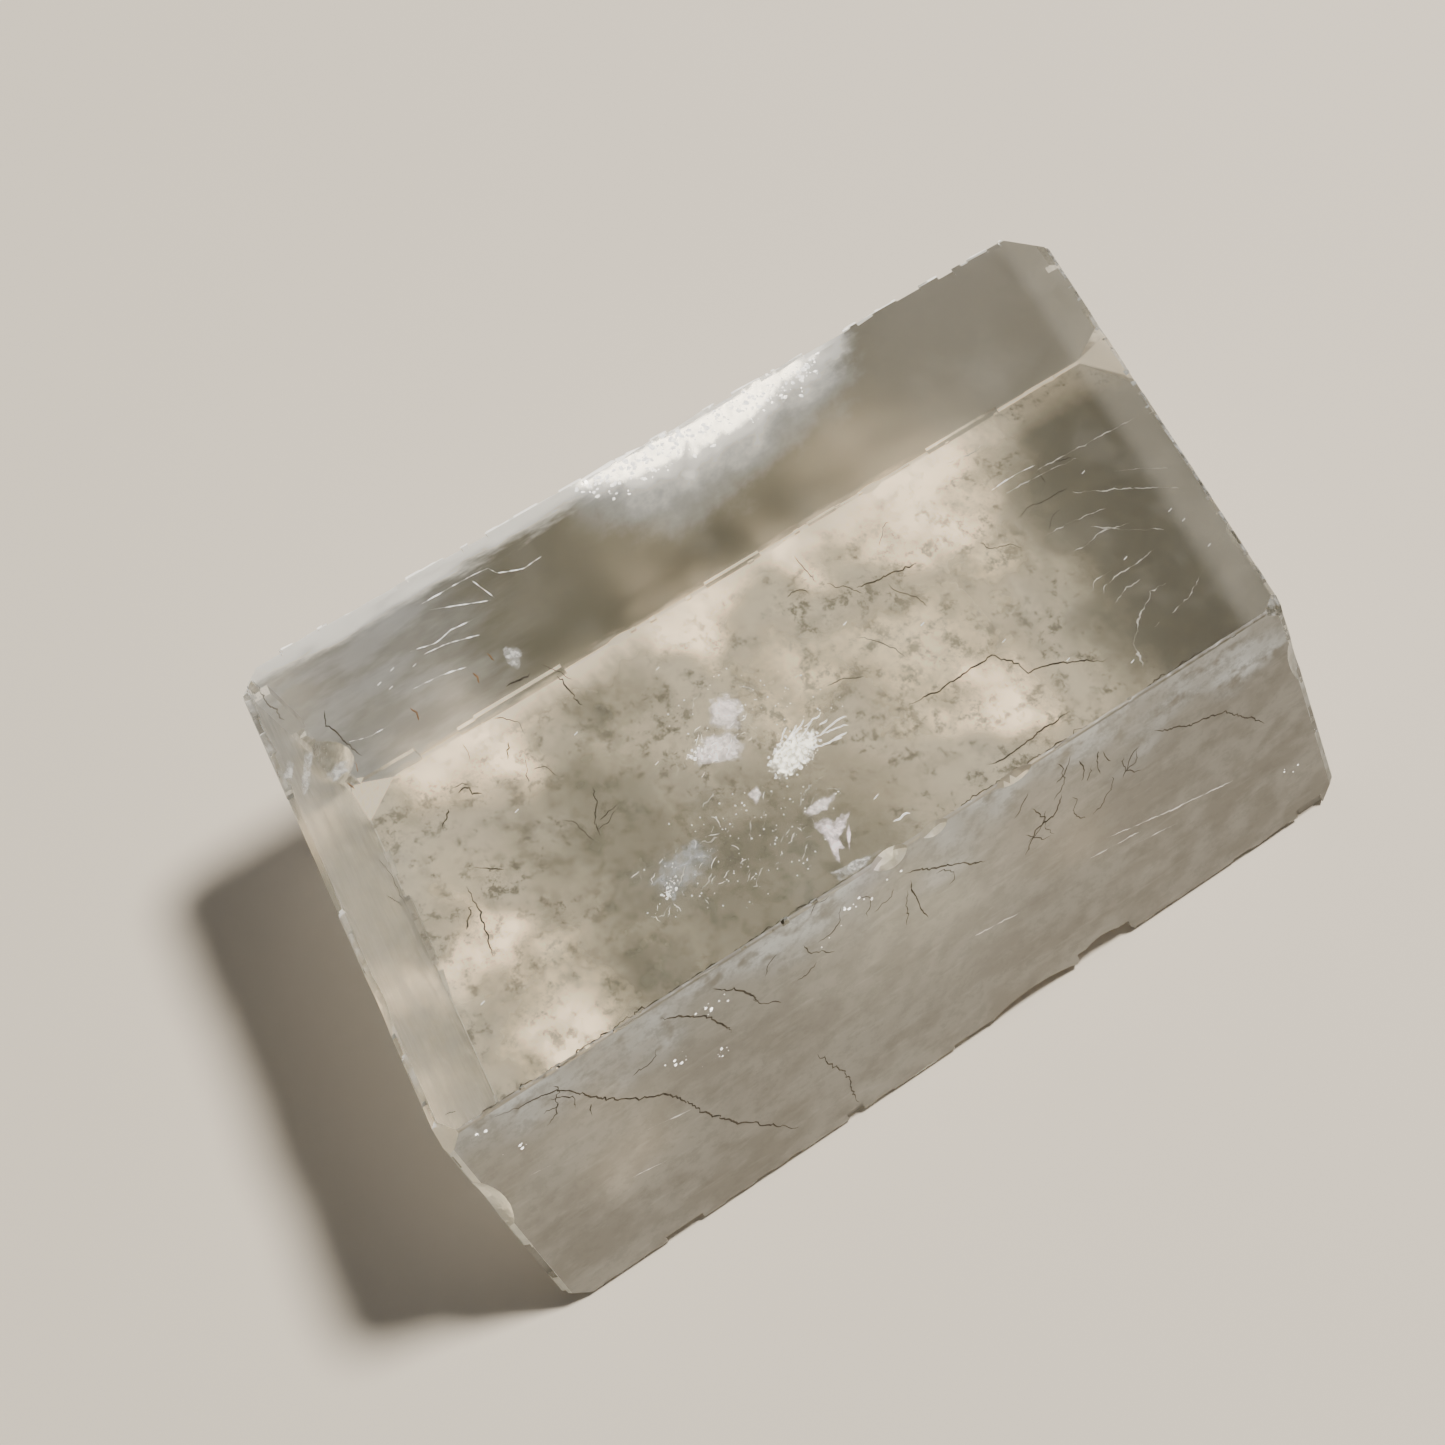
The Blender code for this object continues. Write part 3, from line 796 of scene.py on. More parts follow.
# The far foot's frost is partly painted light.
for name, share, colour in (("far_foot", 0.8, FOOT_FROST_AND_GLOW), ("far_rim", 0.85, RIM_FROST),
                            # The near foot's dark mark is painted shade.
                            ("ridge_dirt_and_near_foot_shade", 0.6, RIDGE_DIRT_AND_FOOT_SHADE)):
    worn = film(bench, colour, GLOW.get(name, 0.0))
    surface = mix_finishes(bench, attribute(bench, name) * share, surface, worn)
inside = bench.lay("ShaderNodeVolumeAbsorption", None, {"Color": ABSORB_COLOUR, "Density": ABSORBS})
bench.lay("ShaderNodeOutputMaterial", None, {"Surface": surface, "Volume": inside})
body_mesh.materials.clear()
body_mesh.materials.append(bench.material)
print("clear calcite:", len(bench.tree.nodes), "nodes")

# %% Place the body
body = bpy.data.objects.new("calcite_body", body_mesh)
bpy.context.scene.collection.objects.link(body)
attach(body, "root")
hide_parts("calcite_crystal")
print("body materials:", [paint.name for paint in body_mesh.materials])

# %% [markdown]
# ## Where a flaw lies
# A flaw is placed in the crystal's own grid: so many millimetres along the long edge from the
# near left corner, so many across the top or down a side, and so deep behind the face.

# %% Points behind the faces
START = Vector((-26.495, -10.243, 14.454))
SHORT_EDGE = 24.9


def under_top(along, across, deep):
    return (START + ALONG * along + ACROSS * across - OUTWARD["top"] * deep) * MM


def behind_near(along, down, deep):
    return (START + ALONG * along + DOWN * down - OUTWARD["near"] * deep) * MM


def behind_far(along, down, deep):
    return (START + ALONG * along + ACROSS * SHORT_EDGE + DOWN * down - OUTWARD["far"] * deep) * MM


def drawing(text):
    """Lines written as text: two grid numbers to a place, commas between places, semicolons
    between lines."""
    return [[tuple(map(float, place.split())) for place in line.split(",")] for line in text.split(";")]


def put_behind(where, deep, lines):
    """Lines of grid places, turned into points behind one face."""
    return [[where(a, b, deep) for a, b in line] for line in lines]


def strokes(where, deep, text):
    return put_behind(where, deep, drawing(text))


print("the grid starts at, mm:", [round(v, 2) for v in START])


# %% [markdown]
# ## Finishes of the flaws
# A crack that dirt has crept into shows as a dark brown hair. A clean crack is full of air and
# mirrors the light, so it shows white; the white and pale finishes also glow, which is a painted
# glint. A few specks of rusty stain sit in the oldest cracks.

# %% Flaw materials
def speckled(name, first, second, scale, roughness, glow=0.0):
    """A plain finish whose colour wanders between two tones."""
    bench = Bench(name)
    patch = bench.noise(bench.place, scale, 3.0, 0.6).between(0.35, 0.65)
    surface = dull(bench, bench.mixed(patch, first, second), roughness + patch * 0.15, glow)
    bench.lay("ShaderNodeOutputMaterial", None, {"Surface": surface})
    return bench.material


DARK_CRACK = speckled("dark_crack", (0.055, 0.045, 0.03), (0.13, 0.11, 0.08), 2.0, 0.6)
# The bright fracture and the pale seam glow: painted glints.
BRIGHT_FRACTURE = speckled("bright_fracture", (0.99, 0.97, 0.93), (0.93, 0.90, 0.85), 3.0, 0.15, 1.5)
PALE_SEAM = speckled("pale_seam", (0.80, 0.77, 0.70), (0.62, 0.59, 0.52), 3.0, 0.4, 0.25)
RUSTY_STAIN = speckled("rusty_stain", (0.46, 0.25, 0.12), (0.34, 0.21, 0.12), 4.0, 0.6)
print("flaw finishes:", [paint.name for paint in (DARK_CRACK, BRIGHT_FRACTURE, PALE_SEAM, RUSTY_STAIN)])

# %% Put a flaw in its place
SKIN_GAP = 0.03
skin_points = [vertex.co for vertex in body_mesh.vertices]
skin_tree = BVHTree.FromPolygons(skin_points, [face.vertices for face in body_mesh.polygons])


def put_in(mesh, name, gap=SKIN_GAP, deepest=math.inf):
    """A grown flaw becomes a piece that goes with the crystal. Its points are moved to be no less
    than a gap behind the skin, and no more than the deepest that is asked."""
    for vertex in mesh.vertices:
        skin_point, outward, _, _ = skin_tree.find_nearest(vertex.co)
        behind_skin = (skin_point - vertex.co).dot(outward) / MM
        allowed = min(max(behind_skin, gap), deepest)
        if allowed != behind_skin:
            vertex.co = skin_point - outward * allowed * MM
        vertex.co = [min(max(x, low), high) for x, low, high in zip(vertex.co, crystal_low, crystal_high)]
    piece = bpy.data.objects.new(name, mesh)
    bpy.context.scene.collection.objects.link(piece)
    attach(piece, "root")
    print(name + ":", len(mesh.polygons), "faces")


# %% [markdown]
# ## Cracks and bright seams
# Each is a line drawn in the crystal's grid. A rule walks along it in short steps, lets it
# wander a little, thins it towards its ends and gives it a narrow upright cross-section.

# %% The rule for a seam
SEAM_STEP = 0.13
ON_SKIN = {"gap": -0.010, "deepest": -0.002}


def grow_seams(name, lines, width, depth, wander, seed, material, gaps_per_mm=0.0, **reach):
    """A seam along each line. With gaps, it swells and thins so often that it looks dotted."""
    points = [point for line in lines for point in line]
    starts = np.cumsum([0] + [len(line) for line in lines])
    edges = [(i, i + 1) for a, b in zip(starts, starts[1:]) for i in range(a, b - 1)]
    guide = helper(name + "_guide", points, edges=edges)
    grower = Grower(name)
    wide = grower.given("Width", "NodeSocketFloat", width * MM)
    deep = grower.given("Depth", "NodeSocketFloat", depth * MM)
    stray = grower.given("Wander", "NodeSocketFloat", wander * MM * 2)
    shift = grower.given("Seed", "NodeSocketFloat", float(seed))
    path = grower.lay("GeometryNodeMeshToCurve", None, {"Mesh": grower.start()})
    step = {"Curve": path, "Length": SEAM_STEP * MM}
    path = grower.lay("GeometryNodeResampleCurve", {"mode": "LENGTH"}, step)
    place = grower.vector("ADD", grower.place, shift)
    wobble = grower.vector("SUBTRACT", grower.noise(place, 1.9, 3.0, 0.9, out="Color"), (0.5, 0.5, 0.5))
    wobble = grower.vector("SCALE", wobble, stray)
    path = grower.lay("GeometryNodeSetPosition", None, {"Geometry": path, "Offset": wobble})
    path = grower.lay("GeometryNodeSetCurveNormal", {"mode": "Z_UP"}, {"Curve": path})
    along = grower.lay("GeometryNodeSplineParameter", out="Factor")
    taper = along.between(0.0, 0.12) * along.between(1.0, 0.88) * 0.8 + 0.2
    fullness = taper * (grower.noise(place, 1.1, 1.0) * 1.4 + 0.2)
    if gaps_per_mm:
        fullness = fullness * (grower.noise(place, gaps_per_mm, 1.0).between(0.42, 0.62) * 1.2 + 0.08)
    sides = {0: wide, 1: deep}
    outline = grower.lay("GeometryNodeCurvePrimitiveQuadrilateral", {"mode": "RECTANGLE"}, sides)
    seam = grower.lay("GeometryNodeCurveToMesh", None,
                      {"Curve": path, "Profile Curve": outline, "Scale": fullness, "Fill Caps": True})
    mesh = grower.grow(guide, seam, name, material)
    clear_away(guide)
    put_in(mesh, name, **reach)


# %% Draw the dark cracks
TOP_CRACKS = strokes(under_top, 0.08, """
    27.0 5.7, 28.7 5.5, 31.6 5.6, 32.4 4.6, 32.7 3.9, 33.9 3.6, 36.3 2.3; 27.6 12.1, 29.0 11.9,
    30.7 11.6; 28.9 1.1, 29.8 0.9, 31.4 1.1, 33.5 1.2; 5.5 9.6, 5.6 8.2, 5.3 6.0; 5.3 8.6, 4.8 7.7;
    13.2 16.2, 13.4 15.2, 13.6 14.2; 6.2 13.2, 5.6 12.6; 6.9 13.7, 7.4 13.7, 7.4 13.2, 7.8 13.0;
    12.4 10.4, 12.3 9.7, 11.8 8.9, 11.8 8.2; 9.5 13.9, 9.9 14.5; 10.8 17.1, 12.1 17.0; 0.6 23.4,
    0.7 22.8, 0.9 22.2, 1.1 21.4; 2.9 20.8, 2.8 20.1, 3.2 19.0, 3.6 17.8; 0.8 1.0, 1.3 0.8""")
NEAR_CRACKS = strokes(behind_near, 0.02, """
    2.6 0.5, 3.6 0.8, 5.2 1.2, 5.9 2.1, 6.5 3.4, 7.9 4.9, 9.0 5.7, 9.6 7.2, 10.0 8.7, 10.8 10.1,
    13.0 13.3; 10.6 0.9, 11.7 1.9, 12.5 3.0, 12.8 3.9, 12.8 4.5; 13.2 1.3, 14.3 2.6, 14.6 3.7; 23.1 1.7,
    25.1 2.9, 26.7 4.1; 23.2 2.3, 23.0 3.7, 23.1 5.3; 28.6 5.3, 29.5 4.2, 30.7 4.0, 31.3 3.0; 33.4 3.3,
    33.8 1.7; 36.8 2.8, 38.3 3.8, 40.5 4.5, 42.3 6.9; 15.5 9.4, 16.3 11.7, 16.0 14.3""")


def small_cracks(where, deep, how_many, along, second, seed, headings=(-0.5, 0.2, 1.3, 1.9), steps=(2, 5),
                 step_mm=(0.25, 0.7)):
    """Short crooked hairs within two ranges of grid millimetres."""
    chance = random.Random(seed)
    lines = []
    for _ in range(how_many):
        point = Vector((chance.uniform(*along), chance.uniform(*second)))
        heading = chance.choice(headings) + chance.uniform(-0.3, 0.3)
        line = [tuple(point)]
        for _ in range(chance.randint(*steps)):
            heading += chance.uniform(-0.7, 0.7)
            point = point + Vector((math.cos(heading), math.sin(heading))) * chance.uniform(*step_mm)
            line.append((point.x, max(point.y, 0.15)))
        lines.append(line)
    return put_behind(where, deep, lines)


RIDGE_HAIR = strokes(under_top, 0.06, """
    1.2 0.1, 3.4 0.16, 6.0 0.1, 9.3 0.18, 12.4 0.1, 15.6 0.14, 18.4 0.2, 21.4 0.16; 26.4 0.14, 28.8 0.2,
    31.4 0.12, 33.9 0.18; 36.6 0.12, 39.2 0.18, 41.4 0.1, 43.8 0.14""")
FINE_NEAR = small_cracks(behind_near, 0.02, 24, (14.0, 36.0), (0.4, 4.2), 71)
FINE_NEAR += small_cracks(behind_near, 0.02, 5, (2.0, 10.0), (0.6, 3.6), 73)
FINE_TOP = small_cracks(under_top, 0.08, 12, (24.0, 40.0), (8.0, 13.5), 79)
FINE_TOP += small_cracks(under_top, 0.08, 12, (2.0, 14.0), (8.0, 17.0), 83)
grow_seams("top_cracks", TOP_CRACKS, 0.060, 0.10, 0.30, 3, DARK_CRACK)
grow_seams("ridge_hair", RIDGE_HAIR, 0.055, 0.06, 0.40, 17, DARK_CRACK)
grow_seams("near_cracks", NEAR_CRACKS, 0.036, 0.08, 0.34, 5, DARK_CRACK, **{**ON_SKIN, "gap": -0.012})
grow_seams("fine_near_cracks", FINE_NEAR, 0.018, 0.05, 0.34, 29, DARK_CRACK, **ON_SKIN)
grow_seams("fine_top_cracks", FINE_TOP, 0.030, 0.06, 0.20, 23, DARK_CRACK)

# %% Draw the bright seams
PALE_SEAMS = strokes(under_top, 0.30, """
    40.7 4.1, 40.0 4.1, 39.2 3.7, 38.6 3.2, 38.3 2.8, 37.9 2.5, 37.7 1.8, 37.6 1.1; 39.0 2.5, 39.5 2.6""")
FINE_PALE_SEAMS = strokes(under_top, 0.30, """
    38.3 12.6, 40.5 12.5, 42.1 12.4, 44.2 12.3; 36.4 12.4, 38.2 12.3, 40.3 12.1; 36.9 9.4, 38.6 9.3,
    40.2 9.0; 37.4 8.0, 38.4 7.9, 39.4 8.1, 41.0 7.6; 41.6 10.4, 42.8 9.8, 43.9 9.1; 38.1 4.6, 38.9 4.9,
    39.9 4.9; 40.2 2.6, 41.4 2.9, 42.6 3.6; 34.4 15.4, 35.8 15.2, 37.4 15.4; 41.1 5.9, 40.1 5.7,
    38.8 5.7, 38.1 5.6, 37.8 5.3; 38.7 6.1, 37.9 6.1, 37.4 5.7; 39.2 10.6, 41.1 9.6, 43.3 8.3, 44.0 7.8;
    39.1 8.6, 40.6 7.4, 42.1 6.5""")
FEATHER = strokes(under_top, 4.0, """
    22.3 8.6, 23.0 8.9; 22.4 8.2, 23.3 8.6; 23.5 8.2, 24.0 8.3; 22.9 7.9, 23.9 7.8, 24.8 7.5; 22.5 7.6,
    23.3 7.3, 24.5 7.2; 23.6 7.3, 24.2 7.1; 21.8 8.4, 22.6 8.9; 21.0 8.1, 21.8 8.4, 22.7 8.7; 21.6 8.7,
    22.1 9.1; 22.9 8.6, 23.8 8.7; 23.4 7.9, 24.4 8.0, 24.9 7.9; 24.1 3.7, 24.4 3.8; 24.4 2.3, 24.8 2.2,
    25.3 2.2""")
WISPS = strokes(under_top, 4.0, """
    17.4 3.3, 17.8 3.4, 18.1 3.8; 17.1 3.6, 17.5 3.9; 18.9 5.4, 19.4 5.9; 18.2 5.2, 18.5 5.8, 18.6 6.1;
    16.2 6.4, 17.0 6.2; 15.6 5.9, 16.2 5.6; 14.4 5.2, 15.0 5.9; 15.2 4.4, 15.9 4.9; 16.9 7.9, 17.6 8.2;
    19.9 3.1, 20.4 3.6; 19.4 4.4, 20.0 4.6; 12.8 4.4, 13.6 4.6; 20.9 5.4, 21.7 5.9, 22.6 6.0; 21.2 5.0,
    22.0 5.4; 22.4 5.4, 23.0 5.0; 18.6 12.4, 19.2 12.9; 21.0 12.2, 21.6 11.6; 16.4 9.9, 17.0 10.6""")
grow_seams("feathers", FEATHER, 0.055, 0.05, 0.24, 13, BRIGHT_FRACTURE)
FEATHERY = {"headings": (0.3, 0.6, 1.1), "steps": (1, 2), "step_mm": (0.10, 0.34)}
FINE_WISPS = small_cracks(under_top, 4.0, 26, (12.6, 16.4), (3.6, 7.0), 91, **FEATHERY)
FINE_WISPS += small_cracks(under_top, 4.0, 34, (16.6, 22.6), (3.4, 7.0), 97, **FEATHERY)
FINE_WISPS += small_cracks(under_top, 4.0, 22, (17.0, 20.4), (8.8, 11.6), 101, **FEATHERY)
grow_seams("fine_wisps", FINE_WISPS, 0.018, 0.02, 0.20, 67, BRIGHT_FRACTURE)
grow_seams("wisps", WISPS, 0.050, 0.05, 0.34, 61, PALE_SEAM, 2.2)

# %% Draw sparks, stains and scratches
def dots(where, deep, text):
    """A very short stroke at each place."""
    return put_behind(where, deep, [[(a, b), (a + 0.2, b + 0.06)] for a, b in drawing(text)[0]])


# Sparks are painted glints: short glowing strokes.
SPARKS = dots(under_top, 0.25, """
    40.1 11.2, 42.8 7.1, 43.1 6.3, 39.6 6.2, 32.4 5.9, 43.5 4.5, 34.6 3.4, 37.2 1.6, 5.6 20.6, 6.4 20.9,
    6.0 20.1, 7.4 20.5, 29.4 8.8, 15.4 9.8, 12.7 13.2, 8.8 11.4, 4.0 4.4, 17.4 13.9, 26.2 10.9""")
SCRATCHES = strokes(under_top, 0.30, """
    35.8 12.95, 36.6 13.0, 37.4 13.0, 38.3 12.9; 9.0 23.2, 10.3 23.2, 11.5 23.2, 12.5 23.1; 12.5 23.1,
    12.8 22.6, 14.0 22.1, 15.0 22.2; 7.6 21.3, 8.8 21.0, 9.7 21.2, 10.8 21.1; 8.1 20.8, 9.1 20.7,
    9.9 20.5, 10.8 20.2; 7.0 19.5, 8.4 19.4, 9.6 19.1; 11.6 22.9, 11.9 22.2, 12.2 21.5; 9.2 22.7,
    12.0 21.5; 3.4 18.8, 4.3 18.5, 5.3 18.5""")
STAINS = strokes(under_top, 0.20, """
    6.5 18.7, 6.7 18.3, 6.6 17.9; 3.3 17.7, 3.2 17.2; 9.8 18.6, 9.8 18.0; 10.8 19.1, 10.9 18.6;
    2.6 17.0, 2.7 16.6""")
NEAR_STREAKS = strokes(behind_near, 0.02, """
    32.6 7.7, 36.0 8.6, 39.7 9.4; 31.4 8.3, 34.3 8.7; 33.4 9.2, 36.2 9.8; 5.6 9.4, 7.4 9.8; 2.2 5.2,
    3.2 5.4; 7.2 7.0, 9.4 7.6; 24.6 8.4, 27.2 8.8""")
grow_seams("scratches", SCRATCHES, 0.038, 0.04, 0.05, 19, BRIGHT_FRACTURE, 3.4)
grow_seams("sparks", SPARKS, 0.16, 0.10, 0.05, 41, BRIGHT_FRACTURE)
grow_seams("rusty_stains", STAINS, 0.07, 0.08, 0.24, 47, RUSTY_STAIN)
grow_seams("pale_seams", PALE_SEAMS, 0.09, 0.06, 0.30, 7, PALE_SEAM, 1.6)
grow_seams("fine_pale_seams", FINE_PALE_SEAMS, 0.034, 0.05, 0.20, 11, PALE_SEAM, 2.0)
grow_seams("near_streaks", NEAR_STREAKS, 0.05, 0.05, 0.12, 59, PALE_SEAM, 1.3, **ON_SKIN)

# %% [markdown]
# ## Healed fractures
# Inside the crystal lie patches where it once cracked and grew together again. Each holds
# hundreds of tiny flat gaps that glint. A rule scatters small thin flakes over a patch in
# clumps, nearly flat in it, and each is a little different in size and turn.

# %% The rule for flakes
FLAKE_SIDES = 5
FLAKE_THICK = 0.10


def flake_shape(seed):
    """A thin uneven plate, about one across, with a low point on both faces."""
    chance = random.Random(seed)
    turns = [2 * math.pi * (i + chance.uniform(-0.2, 0.2)) / FLAKE_SIDES for i in range(FLAKE_SIDES)]
    rim = [(math.cos(t) * r, math.sin(t) * r, 0) for t in turns for r in [chance.uniform(0.28, 0.62)]]
    points = rim + [(0, 0, FLAKE_THICK / 2), (0, 0, -FLAKE_THICK / 2)]
    ring = [(i, (i + 1) % FLAKE_SIDES) for i in range(FLAKE_SIDES)]
    faces = [(a, b, FLAKE_SIDES) for a, b in ring] + [(b, a, FLAKE_SIDES + 1) for a, b in ring]
    return helper("flake", points, faces=faces)


def grow_flakes(name, patches, per_mm2, size, tilt, seed, material, **reach):
    """Scatters flakes over patches, each a list of points."""
    points = [point for patch in patches for point in patch]
    starts = np.cumsum([0] + [len(patch) for patch in patches])
    faces = [tuple(range(a, b)) for a, b in zip(starts, starts[1:])]
    guide = helper(name + "_guide", points, faces=faces)
    flake = flake_shape(seed)
    grower = Grower(name)
    density = grower.given("Density", "NodeSocketFloat", per_mm2 / MM ** 2)
    across = grower.given("Size", "NodeSocketFloat", size * MM)
    which = grower.given("Seed", "NodeSocketInt", seed)
    clumps = grower.noise(grower.place, 1.1, 2.0, 0.7).between(0.38, 0.62)
    spots = grower.lay("GeometryNodeDistributePointsOnFaces", {"distribute_method": "RANDOM"},
                       {"Mesh": grower.start(), "Density": density * clumps, "Seed": which})
    facing = Wire(grower, spots.socket.node.outputs["Rotation"])
    lean = grower.chance((-tilt, -tilt, 0), (tilt, tilt, 2 * math.pi), which, "FLOAT_VECTOR")
    lean = grower.lay("FunctionNodeEulerToRotation", None, {0: lean})
    facing = grower.lay("FunctionNodeRotateRotation", {"rotation_space": "LOCAL"}, {0: facing, 1: lean})
    lift = grower.chance((-0.5 * size * MM,) * 3, (0.5 * size * MM,) * 3, which, "FLOAT_VECTOR")
    spots = grower.lay("GeometryNodeSetPosition", None, {"Geometry": spots, "Offset": lift})
    shape = grower.mesh_of("Flake", flake)
    how_big = grower.chance(0.4, 1.15, which) ** 2.2 * across
    scattered = grower.lay("GeometryNodeInstanceOnPoints", None,
                           {"Points": spots, "Instance": shape, "Rotation": facing, "Scale": how_big})
    mesh = grower.grow(guide, scattered, name, material)
    clear_away(guide, flake)
    put_in(mesh, name, **reach)


# %% Scatter the healed fractures
GLINT = Vector((0.02, -0.15, 0.99)).normalized()


def glint_patch(deep, outline):
    """A flat patch at a depth under the top, turned so that flakes lying in it catch the lamp."""
    points = [under_top(a, b, deep) for a, b in outline]
    middle = sum(points, Vector()) / len(points)
    return [point - OUTWARD["top"] * (point - middle).dot(GLINT) / GLINT.z for point in points]


def glint_patches(text):
    """Patches written as text. Each has its depth, a colon and the places of its outline."""
    parts = [part.split(":") for part in text.split(";")]
    return [glint_patch(float(deep), drawing(outline)[0]) for deep, outline in parts]


CORE = glint_patches("""
    4.0: 20.4 7.5, 20.5 8.0, 21.2 8.5, 22.3 8.7, 23.3 8.3, 23.4 7.6, 22.5 7.0, 21.5 6.8, 20.7 6.9""")
PINK_VEILS = glint_patches("""
    4.0: 19.0 11.8, 19.4 12.4, 20.4 12.2, 20.9 11.4, 20.8 10.6, 20.1 10.2, 19.4 10.5, 18.9 11.1;
    4.1: 17.2 10.5, 18.2 10.9, 19.2 10.8, 20.0 10.2, 20.3 9.4, 19.6 8.8, 18.4 9.3, 17.5 9.8;
    4.2: 20.8 5.0, 21.9 5.3, 22.8 5.0, 22.2 4.5, 21.3 4.5;
    4.4: 19.0 7.4, 19.7 7.5, 19.8 6.9, 19.2 6.6""")
BLUE_VEILS = glint_patches("""
    4.0: 12.9 6.0, 14.4 7.0, 16.2 6.9, 17.0 5.8, 15.4 4.7, 13.7 4.6""")
SHARD = glint_patches("""
    4.0: 21.0 4.2, 21.6 4.3, 22.9 3.8, 22.3 3.2, 21.9 3.0, 21.9 2.4, 21.6 2.5, 21.3 1.7, 21.2 2.3, 21.3 3.1,
    21.1 3.5;
    4.0: 22.6 3.4, 22.4 2.8, 22.0 2.2, 22.2 3.0;
    4.0: 19.3 11.9, 19.9 12.3, 20.5 12.0, 20.6 11.5, 20.0 10.9, 19.7 11.0, 19.4 11.4""")
GLINT_FIELDS = glint_patches("""
    4.0: 12.4 6.6, 15.4 8.2, 19.6 7.4, 23.0 5.0, 21.4 2.6, 16.0 2.6, 12.6 4.2;
    4.0: 17.0 12.8, 20.8 13.2, 24.6 10.6, 25.6 8.4, 21.0 8.8, 17.2 10.2""")
SPARKLING = CORE + glint_patches("""
    4.1: 17.2 10.5, 18.2 10.7, 19.0 10.6, 19.3 10.0, 18.6 9.7, 17.8 9.9;
    3.9: 13.4 5.0, 14.0 5.9, 14.6 5.7, 14.2 4.9""")
WEDGE_STRIPS = ((0.25, 17.8, 32.2, 60.0), (0.9, 18.0, 32.0, 36.0), (1.8, 18.8, 31.0, 18.0))
FAR_LEAN = 0.2755


def wedge_strip(deep, start, end):
    """A level strip just inside the far side, which slopes away below the top edge."""
    edge = SHORT_EDGE - FAR_LEAN * deep
    corners = [(start, edge - 0.2), (end, edge - 0.2), (end - 0.6, edge - 1.1), (start + 0.6, edge - 1.1)]
    return glint_patch(deep, corners)


PIT_OUTLINE = [(-0.8, -0.4), (0.9, -0.3), (0.8, 0.5), (-0.8, 0.3)]
PIT_PLACES = drawing("""
    9.8 3.9, 11.6 5.4, 12.6 2.2, 43.2 11.4, 2.2 2.9, 1.7 0.8, 20.6 1.6, 22.6 1.2, 18.8 2.6""")[0]
PITS = [[behind_near(a + x, b + y, 0.08) for x, y in PIT_OUTLINE] for a, b in PIT_PLACES]
# The flakes and pits below take the glowing bright fracture finish, so part of their glint is painted.
for number, (deep, start, end, density) in enumerate(WEDGE_STRIPS):
    strip = [wedge_strip(deep, start, end)]
    grow_flakes(f"frosted_wedge_{number}", strip, density, 0.26, 0.4, 43 + number, BRIGHT_FRACTURE)
grow_flakes("core_flakes", SPARKLING, 170.0, 0.13, 0.3, 31, BRIGHT_FRACTURE)
grow_flakes("fine_glints", GLINT_FIELDS, 5.0, 0.08, 0.5, 37, BRIGHT_FRACTURE)
grow_flakes("bright_pits", PITS, 12.0, 0.15, 0.6, 53, BRIGHT_FRACTURE, **ON_SKIN)

# %% [markdown]
# ## Veils
# Where the tiny gaps are too small to see one by one, they show together as a pale veil with
# bright grains in it. A veil is a thin lens-shaped sheet inside the crystal. Its finish is
# clear at the rim and patchy in the middle, so the veil has no hard outline.

# %% The finish of a veil
VEIL_ROUGHNESS = 0.3


def veil_finish(name, faint, bright, grains_per_mm, cover, glow, softness=0.10, clouds_per_mm=2.2):
    """A patchy see-through layer, with grains of the bright colour, and a glow that is painted light."""
    bench = Bench(name)
    cloud = level_noise(bench, clouds_per_mm, 4.0, 0.7)
    grains = level_noise(bench, grains_per_mm, 3.0).between(0.52 - softness, 0.52 + softness)
    thick = (attribute(bench, "fade") * 0.9 + cloud * 2.0).between(1.10, 2.0)
    alpha = thick * (grains * 0.55 + 0.45) * cover
    surface = dull(bench, bench.mixed(grains, faint, bright), VEIL_ROUGHNESS, glow, Alpha=alpha)
    bench.lay("ShaderNodeOutputMaterial", None, {"Surface": surface})
    return bench.material


# %% The sheet of a veil
VEIL_THICK = 0.03


def lay_veils(name, outlines, finish, facing=GLINT):
    """Lens-shaped sheets: the rim fades out, and an inner ring and the middle are full."""
    points, faces, fade = [], [], []
    for outline in outlines:
        first, count = len(points), len(outline)
        middle = sum(outline, Vector()) / count
        inner = [middle.lerp(point, 0.5) for point in outline]
        lift = facing * VEIL_THICK / 2 * MM
        raised = [point + lift for point in inner]
        lowered = [point - lift for point in inner]
        points += [*outline, *raised, *lowered, middle + lift, middle - lift]
        fade += [0.0] * count + [1.0] * (2 * count + 2)
        upper, lower, top = first + count, first + 2 * count, first + 3 * count
        for i in range(count):
            j = (i + 1) % count
            faces += [(first + i, first + j, upper + j, upper + i), (upper + i, upper + j, top),
                      (first + j, first + i, lower + i, lower + j), (lower + j, lower + i, top + 1)]
    mesh = bpy.data.meshes.new(name)
    mesh.from_pydata(points, [], faces)
    mesh.attributes.new("fade", "FLOAT", "POINT").data.foreach_set("value", fade)
    mesh.materials.append(finish)
    put_in(mesh, name)


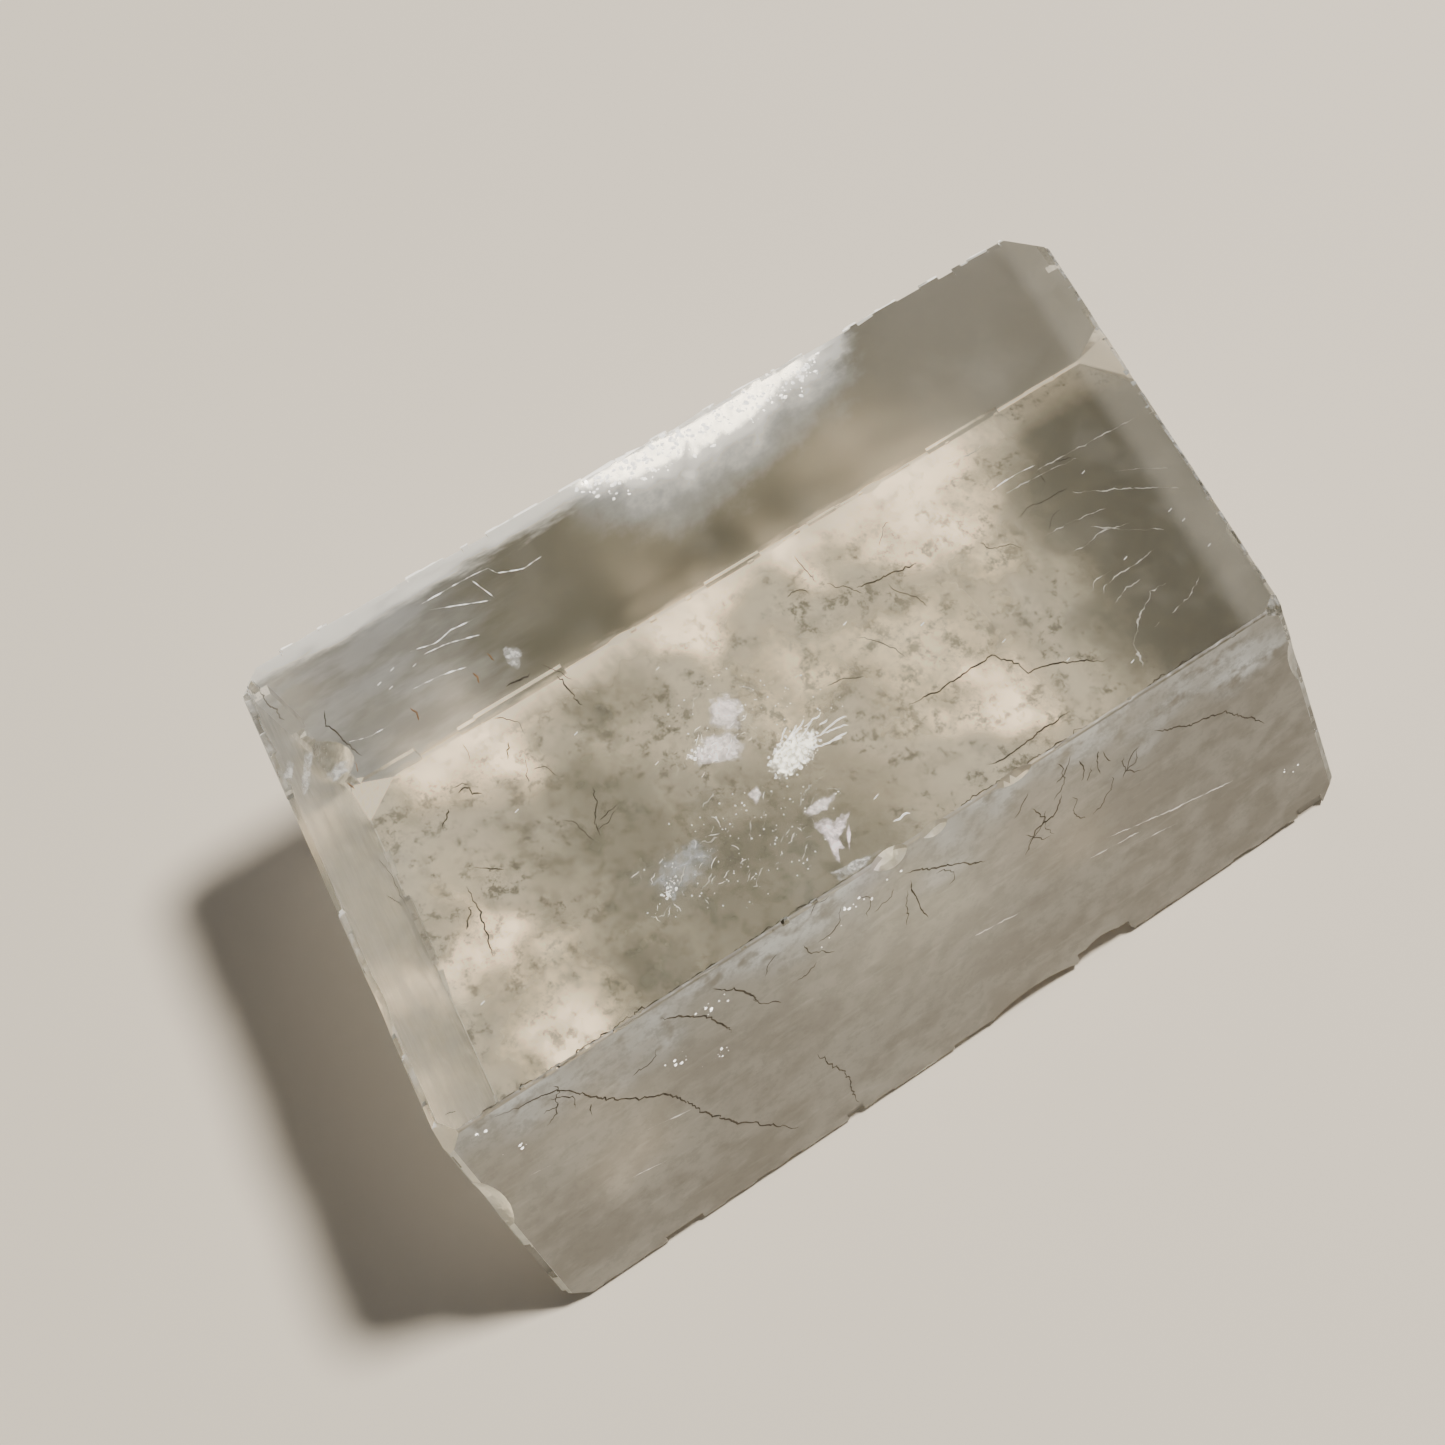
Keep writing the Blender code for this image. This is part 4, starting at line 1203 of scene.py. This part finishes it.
# %% Lay the veils
# Each veil glows with painted light, the core grains and the wedge frost most of all.
CORE_GRAINS = veil_finish("core_grains", (0.60, 0.57, 0.47), (0.97, 0.93, 0.80), 5.0, 1.0, 2.0)
PINK_FROST = veil_finish("pink_frost", (0.62, 0.55, 0.52), (0.94, 0.86, 0.82), 2.6, 0.95, 0.8, 0.36)
BLUE_HAZE = veil_finish("blue_haze", (0.42, 0.46, 0.50), (0.70, 0.75, 0.82), 2.4, 0.32, 0.3, 0.20)
TIP_PATCHES = glint_patches("""
    0.3: 1.9 19.5, 1.5 19.7, 0.5 17.9, 0.7 17.4, 1.3 18.3;
    0.3: 0.9 19.4, 0.5 19.6, 0.0 18.8, 0.4 18.5;
    0.3: 1.6 17.9, 2.4 18.2, 3.4 18.1, 3.2 17.4, 1.9 17.4;
    0.3: 11.4 19.0, 12.0 18.9, 12.4 18.2, 11.7 17.5, 11.3 18.2;
    0.3: 20.0 0.9, 21.6 0.8, 22.7 0.5, 22.0 0.2, 20.4 0.2""")
TIP_FROST = veil_finish("tip_frost", (0.74, 0.73, 0.69), (0.95, 0.94, 0.90), 2.6, 0.6, 0.25)
SHARD_FACE = veil_finish("shard_face", (0.66, 0.57, 0.57), (0.94, 0.84, 0.84), 2.6, 1.0, 0.95, 0.30, 1.2)
WEDGE_VEIL = strokes(behind_far, 0.10, """
    17.4 0.3, 20.5 0.25, 24.0 0.25, 24.6 2.2, 22.6 3.4, 20.4 3.0, 18.6 1.9; 21.0 0.25, 26.0 0.25,
    32.6 0.3, 31.4 1.3, 29.0 2.6, 26.0 3.6, 23.0 3.8""")
WEDGE_FROST = veil_finish("wedge_frost", (0.98, 0.92, 0.80), (1.0, 0.94, 0.80), 1.6, 1.0, 2.6, 0.3, 0.8)
lay_veils("wedge_veils", WEDGE_VEIL, WEDGE_FROST, OUTWARD["far"])
lay_veils("bright_core", CORE, CORE_GRAINS)
lay_veils("pink_veils", PINK_VEILS, PINK_FROST)
lay_veils("blue_veils", BLUE_VEILS, BLUE_HAZE)
lay_veils("tip_patches", TIP_PATCHES, TIP_FROST)
lay_veils("bright_shard", SHARD, SHARD_FACE)
